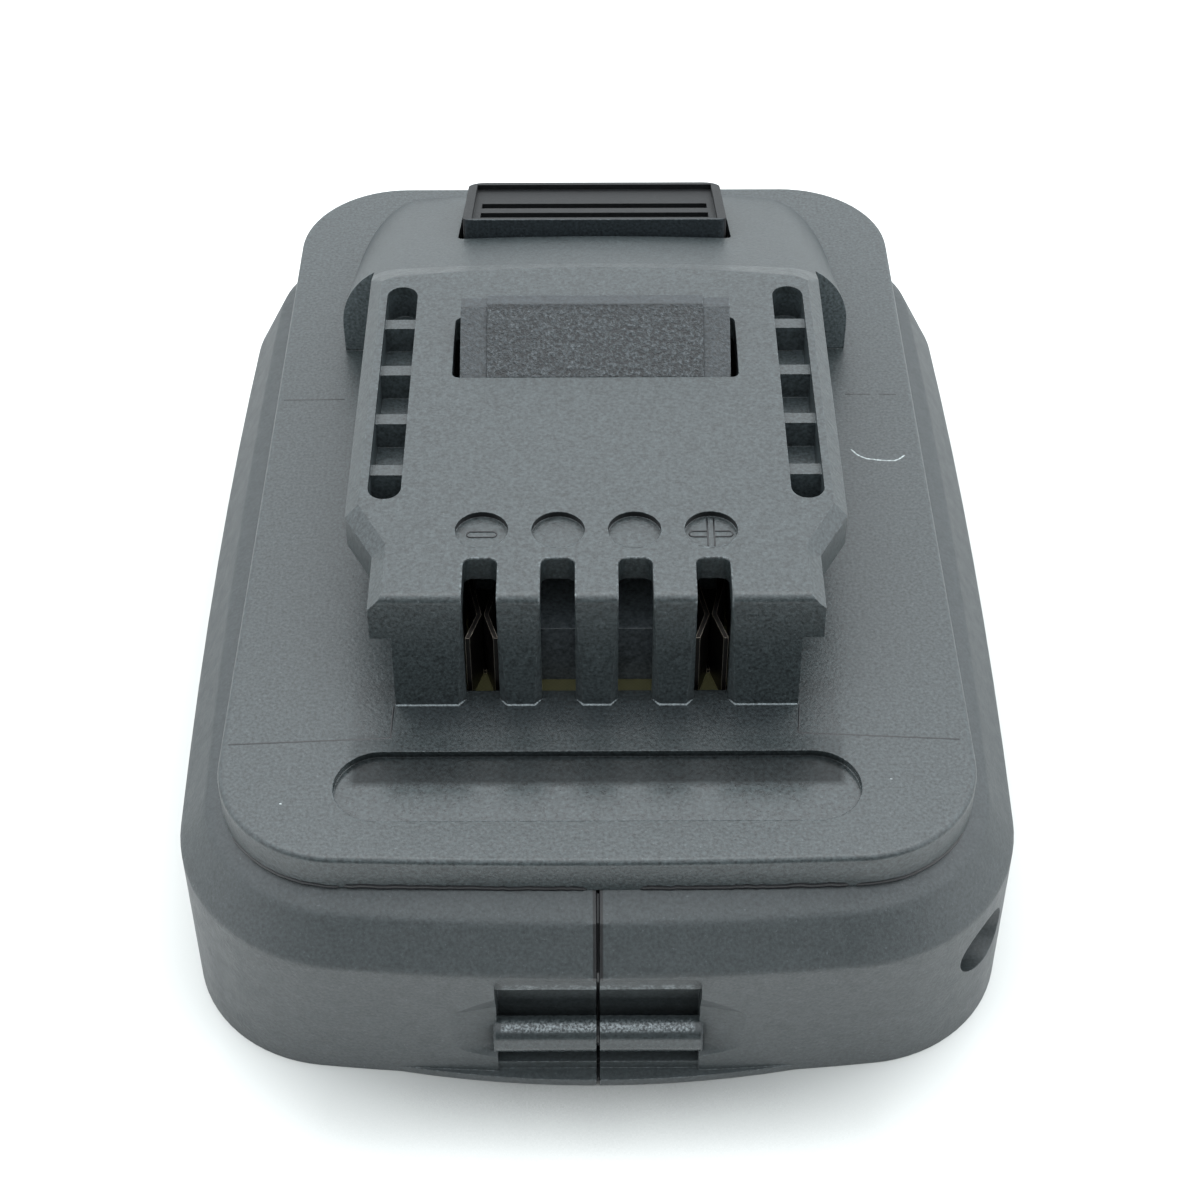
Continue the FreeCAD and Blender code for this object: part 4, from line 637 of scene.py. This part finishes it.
def makeMouldLines(materials):
    look = witnessLook
    bm = bmesh.new()
    for path in look["paths"]:
        addWelt(bm, [(x, y, plateTop) for x, y in path], look["width"], look["height"])
    makePiece("witnessLines", bm, materials["block"])

    look = flashWithPaintedShadeLook
    random.seed(4)
    bm = bmesh.new()
    for first, last in look["runs"]:
        path = []
        x = first
        while x < last:
            y = look["front"] + x * x / (2 * look["frontRadius"])
            path.append((x, y - look["sunk"], look["level"] + random.uniform(0, look["rise"])))
            x += random.uniform(look["shortest"], look["longest"])
        addWelt(bm, path, look["width"], look["height"], up=(0, -1, 0))
    outX, outY, outZ = look["cornerOut"]
    for side in (-1, 1):
        path = []
        for step in range(look["cornerSteps"]):
            turn = math.radians(-90 + look["cornerTurn"] * step / (look["cornerSteps"] - 1))
            path.append((side * (look["cornerX"] + look["cornerRadius"] * math.cos(turn)),
                         look["cornerY"] + look["cornerRadius"] * math.sin(turn),
                         look["cornerLevel"] + random.uniform(0, look["cornerRise"])))
        addWelt(bm, path, look["cornerWidth"], look["cornerHeight"], up=(side * outX, outY, outZ))
    makePiece("flashWithPaintedShade", bm, materials["block"])


# Pale burr at the foot of the deck's front wall, bent into each slot
footLook = {"front": -33.56, "end": 20.8, "halfSlot": 1.75, "flare": 0.8, "inset": 0.15, "width": 0.26,
            "height": 0.12}


def makeFootLine(materials):
    look = footLook
    half, flare, inset = look["halfSlot"], look["flare"], look["inset"]
    front, level = look["front"], plateTop
    slots = [(number - 1.5) * slotPitch for number in range(4)]
    bm = bmesh.new()
    for left, right in zip([None] + slots, slots + [None]):
        path = []
        if left is None:
            path.append((-look["end"], front, level))
        else:
            path += [(left + half + inset, front + flare, level), (left + half + flare, front, level)]
        if right is None:
            path.append((look["end"], front, level))
        else:
            path += [(right - half - flare, front, level), (right - half - inset, front + flare, level)]
        addWelt(bm, path, look["width"], look["height"])
    makePiece("footLine", bm, materials["burr"])


# One curved scratch on the right of the plate, and a few pale chips
scuffLook = {
    "scratch": [(29.77, 7.38), (30.28, 6.57), (30.71, 6.12), (31.48, 5.67), (32.39, 5.49), (33.54, 5.31),
                (34.69, 5.31), (35.31, 5.67), (35.95, 6.3)],
    "chips": [(-22.38, -21.75), (18.27, -27.92), (-31.5, -47.0), (29.5, -44.0)],
    "chipShape": [(-0.12, 0), (0, 0.03), (0.13, 0)],
    "width": 0.2,
    "scratchHeight": 0.02,
    "chipHeight": 0.05,
}


def makeScuffs(materials):
    look = scuffLook
    bm = bmesh.new()
    addWelt(bm, [(x, y, plateTop) for x, y in look["scratch"]], look["width"], look["scratchHeight"])
    for x, y in look["chips"]:
        chip = [(x + right, y + back, plateTop) for right, back in look["chipShape"]]
        addWelt(bm, chip, look["width"], look["chipHeight"])
    makePiece("scuffs", bm, materials["scuff"])


# Screws: domed head with a cross recess, and a rolled thread
screwLook = {
    "around": 20,
    "stepsPerTurn": 6,
    "pitch": 1.25,
    "root": 0.74,           # share of the radius
    "crest": 0.28,          # half width of the crest, as a share of the pitch
    "threadStart": 0.4,
    "threadStop": 0.5,      # before the tip
    "tipLength": 2.0,
    "tipThread": 0.35,      # shares of the radius, where the thread ends and at the tip
    "tipRadius": 0.3,
    "headRound": 0.4,
    "headStep": 0.12,
    "recessReach": 0.62,    # shares of the head's radius
    "recessHalf": 0.17,
    "recessDeep": 0.6,      # share of the head's height
    "recessTaper": 0.55,
}

screwGroups = {
    "cover_screws": {"radius": 1.5, "headRadius": 2.7, "headHeight": 2.2, "length": 9.5,
                     "places": [(28, -44.8, 12.2), (-28, -44.8, 12.2), (22, 40, 12.2), (-22, 40, 12.2)]},
    "side_screws": {"radius": 1.5, "headRadius": 2.7, "headHeight": 2.2, "length": 23.3, "sideways": True,
                    "places": [(11.3, -51.8, 11.5), (11.3, 50.6, 14.9)]},
    "block_screws": {"radius": 1.2, "headRadius": 2.4, "headHeight": 2.0, "length": 8.5,
                     "places": [(7, -31, 5.5), (-7, -31, 5.5)]},
    "board_screws": {"radius": 1.1, "headRadius": 2.2, "headHeight": 1.8, "length": 8.5,
                     "places": [(slotPitch, -10, 24.4), (-slotPitch, -10, 24.4)]},
}


def addScrew(bm, turned, size):
    # made with its seat at zero, its head below and its tip above, then turned into place
    look = screwLook
    around = look["around"]
    radius, length = size["radius"], size["length"]
    headRadius, headHeight = size["headRadius"], size["headHeight"]

    def ring(radiusAt, z):
        verts = []
        for step in range(around):
            turn = 2 * math.pi * step / around
            r = radiusAt(turn) if callable(radiusAt) else radiusAt
            verts.append(bm.verts.new((turned @ Vector((r * math.cos(turn), r * math.sin(turn), z))) * mm))
        return verts

    rings = [ring(headRadius - look["headRound"], -headHeight),
             ring(headRadius - look["headStep"], -headHeight + look["headStep"]),
             ring(headRadius, -headHeight + look["headRound"]), ring(headRadius, 0.0), ring(radius, 0.0)]
    steps = int(length / look["pitch"] * look["stepsPerTurn"])
    run = length - look["threadStart"] - look["threadStop"]
    for number in range(steps + 1):
        z = look["threadStart"] + run * number / steps
        taper = min(1.0, (length - z) / look["tipLength"] + look["tipThread"])

        def crest(turn):
            phase = (z / look["pitch"] - turn / (2 * math.pi)) % 1.0
            peak = max(0.0, 1 - abs(phase - 0.5) / look["crest"])
            return radius * taper * (look["root"] + (1 - look["root"]) * peak)

        rings.append(ring(crest, z))
    rings.append(ring(radius * look["tipRadius"], length))
    for first, second in zip(rings, rings[1:]):
        for step in range(around):
            after = (step + 1) % around
            bm.faces.new((first[step], first[after], second[after], second[step]))
    bm.faces.new(rings[-1])

    # the cross recess: a plus outline in the head's face, sunk to a smaller one
    long, short = headRadius * look["recessReach"], headRadius * look["recessHalf"]
    floor, taper = headHeight * look["recessDeep"] - headHeight, look["recessTaper"]
    plus = [(long, -short), (long, short), (short, short), (short, long), (-short, long), (-short, short),
            (-long, short), (-long, -short), (-short, -short), (-short, -long), (short, -long),
            (short, -short)]
    top = [bm.verts.new((turned @ Vector((x, y, -headHeight))) * mm) for x, y in plus]
    low = [bm.verts.new((turned @ Vector((x * taper, y * taper, floor))) * mm) for x, y in plus]
    count = len(plus)
    for number in range(count):
        after = (number + 1) % count
        bm.faces.new((top[number], top[after], low[after], low[number]))
    bm.faces.new(low)
    edges = [bm.edges.get((top[number], top[(number + 1) % count])) for number in range(count)]
    edges += [bm.edges.get((rings[0][step], rings[0][(step + 1) % around])) for step in range(around)]
    bmesh.ops.triangle_fill(bm, edges=edges, use_beauty=True, use_dissolve=False)


def makeScrews(materials):
    for node, size in screwGroups.items():
        turned = Matrix.Rotation(math.radians(-90 if size.get("sideways") else 0), 4, "Y")
        bm = bmesh.new()
        for place in size["places"]:
            addScrew(bm, Matrix.Translation(Vector(place)) @ turned, size)
        bmesh.ops.recalc_face_normals(bm, faces=bm.faces)
        makePiece("threaded_" + node, bm, materials["screw"], stands=node)


# Latch springs: round wire with closed ends
springLook = {"bottom": 12.5, "top": 25.5, "radius": 2.65, "wire": 0.7, "endTurn": 1.0, "turns": 6.5,
              "stepsPerTurn": 24, "sides": 10}


def makeSprings(materials):
    look = springLook
    low, high = look["bottom"] + look["wire"] / 2, look["top"] - look["wire"] / 2
    closed = look["endTurn"]
    steps = int(look["turns"] * look["stepsPerTurn"])
    for side, x in (("left", -10), ("right", 10)):
        points = []
        for number in range(steps + 1):
            turn = look["turns"] * number / steps
            if turn < closed:
                z = low + look["wire"] * turn / closed
            elif turn > look["turns"] - closed:
                z = high - look["wire"] * (look["turns"] - turn) / closed
            else:
                share = (turn - closed) / (look["turns"] - 2 * closed)
                z = low + look["wire"] + (high - low - 2 * look["wire"]) * share
            angle = 2 * math.pi * turn
            points.append((x + look["radius"] * math.cos(angle), 26 + look["radius"] * math.sin(angle), z))
        bm = bmesh.new()
        sweepTube(bm, points, look["wire"] / 2, look["sides"])
        spring = makePiece("wound_" + side, bm, materials["spring"],
                           stands="latch_spring_" + side)
        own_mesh(spring)


# Leads: round and insulated, up from the terminal, through two bends and back to the board
leadLook = {"x": 14, "y": -31.5, "low": 18.06, "bendLow": 19.8, "high": 24.39, "back": 9.5, "bend": 1.6,
            "bendSteps": 8, "radius": 0.98, "sides": 16}


def makeLeads(materials):
    look = leadLook
    y, bend, steps = look["y"], look["bend"], look["bendSteps"]
    for pole, side, colour, slot in (("negative", -1, "blackLead", "lead_black"),
                                     ("positive", 1, "redLead", "lead_red")):
        route = [(y, look["low"]), (y, look["bendLow"])]
        for step in range(1, steps + 1):
            turn = math.radians(90 * step / steps)
            route.append((y + bend - bend * math.cos(turn), look["bendLow"] + bend * math.sin(turn)))
        for step in range(steps + 1):
            turn = math.radians(90 * step / steps)
            route.append((y + look["back"] - bend + bend * math.sin(turn),
                          look["bendLow"] + 2 * bend - bend * math.cos(turn)))
        route.append((y + look["back"], look["high"]))
        bm = bmesh.new()
        points = [(side * look["x"], along, level) for along, level in route]
        sweepTube(bm, points, look["radius"], look["sides"])
        makePiece("insulated_" + pole, bm, materials[colour], stands="lead_" + pole)


# White tent, brighter above and at the sides and dark towards the camera. Each pair is where a ramp
# starts and ends, in parts of a unit vector. The camera itself sees plain white.
tentLook = {
    "colour": "#f4faff",
    "top": 2.15,
    "low": 1.0,
    "rise": (0.1, 0.8),
    "front": 0.05,
    "frontAhead": (-0.15, -0.7),
    "frontUp": (0.85, 0.4),
    "frontAside": (0.95, 0.5),
    "sideLift": 1.6,
    "sideLow": 0.12,
    "sideAside": (0.35, 0.85),
    "sideUp": (0.0, 0.5),
    "rightLift": 0.5,
    "rightAside": (0.3, 0.8),
    "seen": 1.05,
}


def makeWorld():
    look = tentLook
    world = bpy.data.worlds.new("tent")
    bpy.context.scene.world = world
    world.use_nodes = True
    tree = world.node_tree
    tree.nodes.clear()
    way = addNode(tree, "TexCoord").outputs["Generated"]
    x, y, z = addNode(tree, "SeparateXYZ", [way]).outputs
    aside = addNode(tree, "Math", [x], operation="ABSOLUTE")
    rise = addNode(tree, "MapRange", [z, *look["rise"]])
    right = addNode(tree, "MapRange", [x, *look["rightAside"]])
    ahead = addNode(tree, "MapRange", [y, *look["frontAhead"]])
    ahead = addNode(tree, "Math", [ahead, addNode(tree, "MapRange", [z, *look["frontUp"]])],
                    operation="MULTIPLY")
    ahead = addNode(tree, "Math", [ahead, addNode(tree, "MapRange", [aside, *look["frontAside"]])],
                    operation="MULTIPLY")
    sides = addNode(tree, "MapRange", [aside, *look["sideAside"]])
    sides = addNode(tree, "Math", [sides, addNode(tree, "MapRange", [z, *look["sideUp"], look["sideLow"]])],
                    operation="MULTIPLY")
    level = addNode(tree, "Math", [rise, look["top"] - look["low"], look["low"]], operation="MULTIPLY_ADD")
    level = addNode(tree, "Math", [sides, look["sideLift"], level], operation="MULTIPLY_ADD")
    level = addNode(tree, "Math", [right, look["rightLift"], level], operation="MULTIPLY_ADD")
    level = addNode(tree, "Mix", {0: ahead, 2: level, 3: look["front"]})
    tent = addNode(tree, "Background", {"Color": toLinear(look["colour"]), "Strength": level})
    seen = addNode(tree, "Background", {"Color": (1, 1, 1, 1), "Strength": look["seen"]})
    camera = addNode(tree, "LightPath").outputs["Is Camera Ray"]
    addNode(tree, "OutputWorld", {"Surface": addNode(tree, "MixShader", [camera, tent, seen])})


# Lamps, in metres. The fill lamp reaches into the slots and isn't seen in the gloss.
lamps = {
    "top softbox": {"place": (0, 0.15, 0.6), "target": (0, 0, 0.02), "size": (0.7, 0.5), "power": 2.6},
    "rear softbox": {"place": (0, 0.65, 0.35), "target": (0, 0, 0.02), "size": (0.8, 0.4), "power": 0.7},
    "fill": {"place": (0, -0.5, 0.32), "target": (0, 0, 0.03), "size": (0.3, 0.3), "power": 0.66,
             "inGloss": False},
}


def makeLights():
    for name, look in lamps.items():
        data = bpy.data.lights.new(name, "AREA")
        data.shape = "RECTANGLE"
        data.size, data.size_y = look["size"]
        data.energy = look["power"]
        lamp = bpy.data.objects.new(name, data)
        lamp.location = look["place"]
        lamp.rotation_mode = "QUATERNION"
        way = Vector(look["target"]) - Vector(look["place"])
        lamp.rotation_quaternion = way.to_track_quat("-Z", "Y")
        lamp.visible_glossy = look.get("inGloss", True)
        bpy.context.scene.collection.objects.link(lamp)


# White laminate table. It lights the part from below more in front than behind, and the picture shows it
# a little darker than it reflects, so that its shadow stays visible.
tableLook = {
    "half": 3.0,                # metres
    "drop": 0.0001,             # metres below the part's rim
    "front": "#f4f4f2",
    "beside": "#b9bab8",
    "far": "#6f7070",
    "frontRamp": (-20, -75),
    "farRamp": (-110, -200),
    "seen": "#d4d5d2",
    "near": "#7a7b79",          # painted shadow, in the corner between the table and the part
    "nearReach": 0.02,          # metres
    "nearRamp": (0.5, 1.0),
    "nearAside": (8, 40),       # the painted shadow fades towards the sides
    "nearFade": 0.82,
    "roughness": 0.8,
    "specular": 0.2,
}


def makeFloor():
    look = tableLook
    half = look["half"]
    mesh = bpy.data.meshes.new("table")
    mesh.from_pydata([(-half, -half, 0), (half, -half, 0), (half, half, 0), (-half, half, 0)], [],
                     [(0, 1, 2, 3)])
    table = bpy.data.objects.new("table", mesh)
    table.location = (0, 0, -look["drop"])
    bpy.context.scene.collection.objects.link(table)
    material, tree = newMaterial("table, white laminate")
    x, y = addNode(tree, "SeparateXYZ", [placeInMillimetres(tree)]).outputs[:2]
    front = addNode(tree, "MapRange", [y, *look["frontRamp"]])
    far = addNode(tree, "MapRange", [y, *look["farRamp"]])
    bounced = addNode(tree, "Mix", {0: front, 6: toLinear(look["beside"]), 7: toLinear(look["front"])},
                      data_type="RGBA").outputs[2]
    bounced = addNode(tree, "Mix", {0: far, 6: bounced, 7: toLinear(look["far"])},
                      data_type="RGBA").outputs[2]
    # painted shadow: the camera sees the table darker where the part is near
    near = addNode(tree, "AmbientOcclusion", {"Distance": look["nearReach"]}, samples=8).outputs["AO"]
    near = addNode(tree, "MapRange", [near, *look["nearRamp"]])
    aside = addNode(tree, "Math", [x], operation="ABSOLUTE")
    aside = addNode(tree, "MapRange", [aside, *look["nearAside"], 0, look["nearFade"]])
    clear = addNode(tree, "Math", [near, aside], operation="MAXIMUM")
    seen = addNode(tree, "Mix", {0: clear, 6: toLinear(look["near"]), 7: toLinear(look["seen"])},
                   data_type="RGBA").outputs[2]
    camera = addNode(tree, "LightPath").outputs["Is Camera Ray"]
    colour = addNode(tree, "Mix", {0: camera, 6: bounced, 7: seen}, data_type="RGBA").outputs[2]
    shader = addNode(tree, "BsdfPrincipled", {"Base Color": colour, "Roughness": look["roughness"],
                                              "Specular IOR Level": look["specular"]})
    addNode(tree, "OutputMaterial", {"Surface": shader})
    mesh.materials.append(material)


# Camera: place, turn and focal length worked out from the photo; the clip distances are metres
cameraLook = {"eye": (-0.5, -197.55, 199.8), "down": 43.8, "aside": 0.286, "lens": 68.79, "sensor": 36,
              "clip": (0.01, 20)}


def makeCamera():
    look = cameraLook
    down, aside = math.radians(look["down"]), math.radians(look["aside"])
    along = Vector((math.sin(aside) * math.cos(down), math.cos(aside) * math.cos(down), -math.sin(down)))
    data = bpy.data.cameras.new("camera")
    data.lens = look["lens"]
    data.sensor_width = look["sensor"]
    data.clip_start, data.clip_end = look["clip"]
    camera = bpy.data.objects.new("camera", data)
    turned = along.to_track_quat("-Z", "Y").to_matrix()
    camera.matrix_world = Matrix.Translation(Vector(look["eye"]) * mm) @ turned.to_4x4()
    bpy.context.scene.collection.objects.link(camera)
    bpy.context.scene.camera = camera


print("materials")
materials = makeMaterials()
assignMaterials(materials)

print("details")
makeSeamTongue(materials)
makePolarityMarks(materials)
makeMouldLines(materials)
makeFootLine(materials)
makeScuffs(materials)
makeScrews(materials)
makeSprings(materials)
makeLeads(materials)

print("studio")
makeWorld()
makeLights()
makeFloor()
makeCamera()
bpy.context.scene.view_settings.view_transform = "Standard"
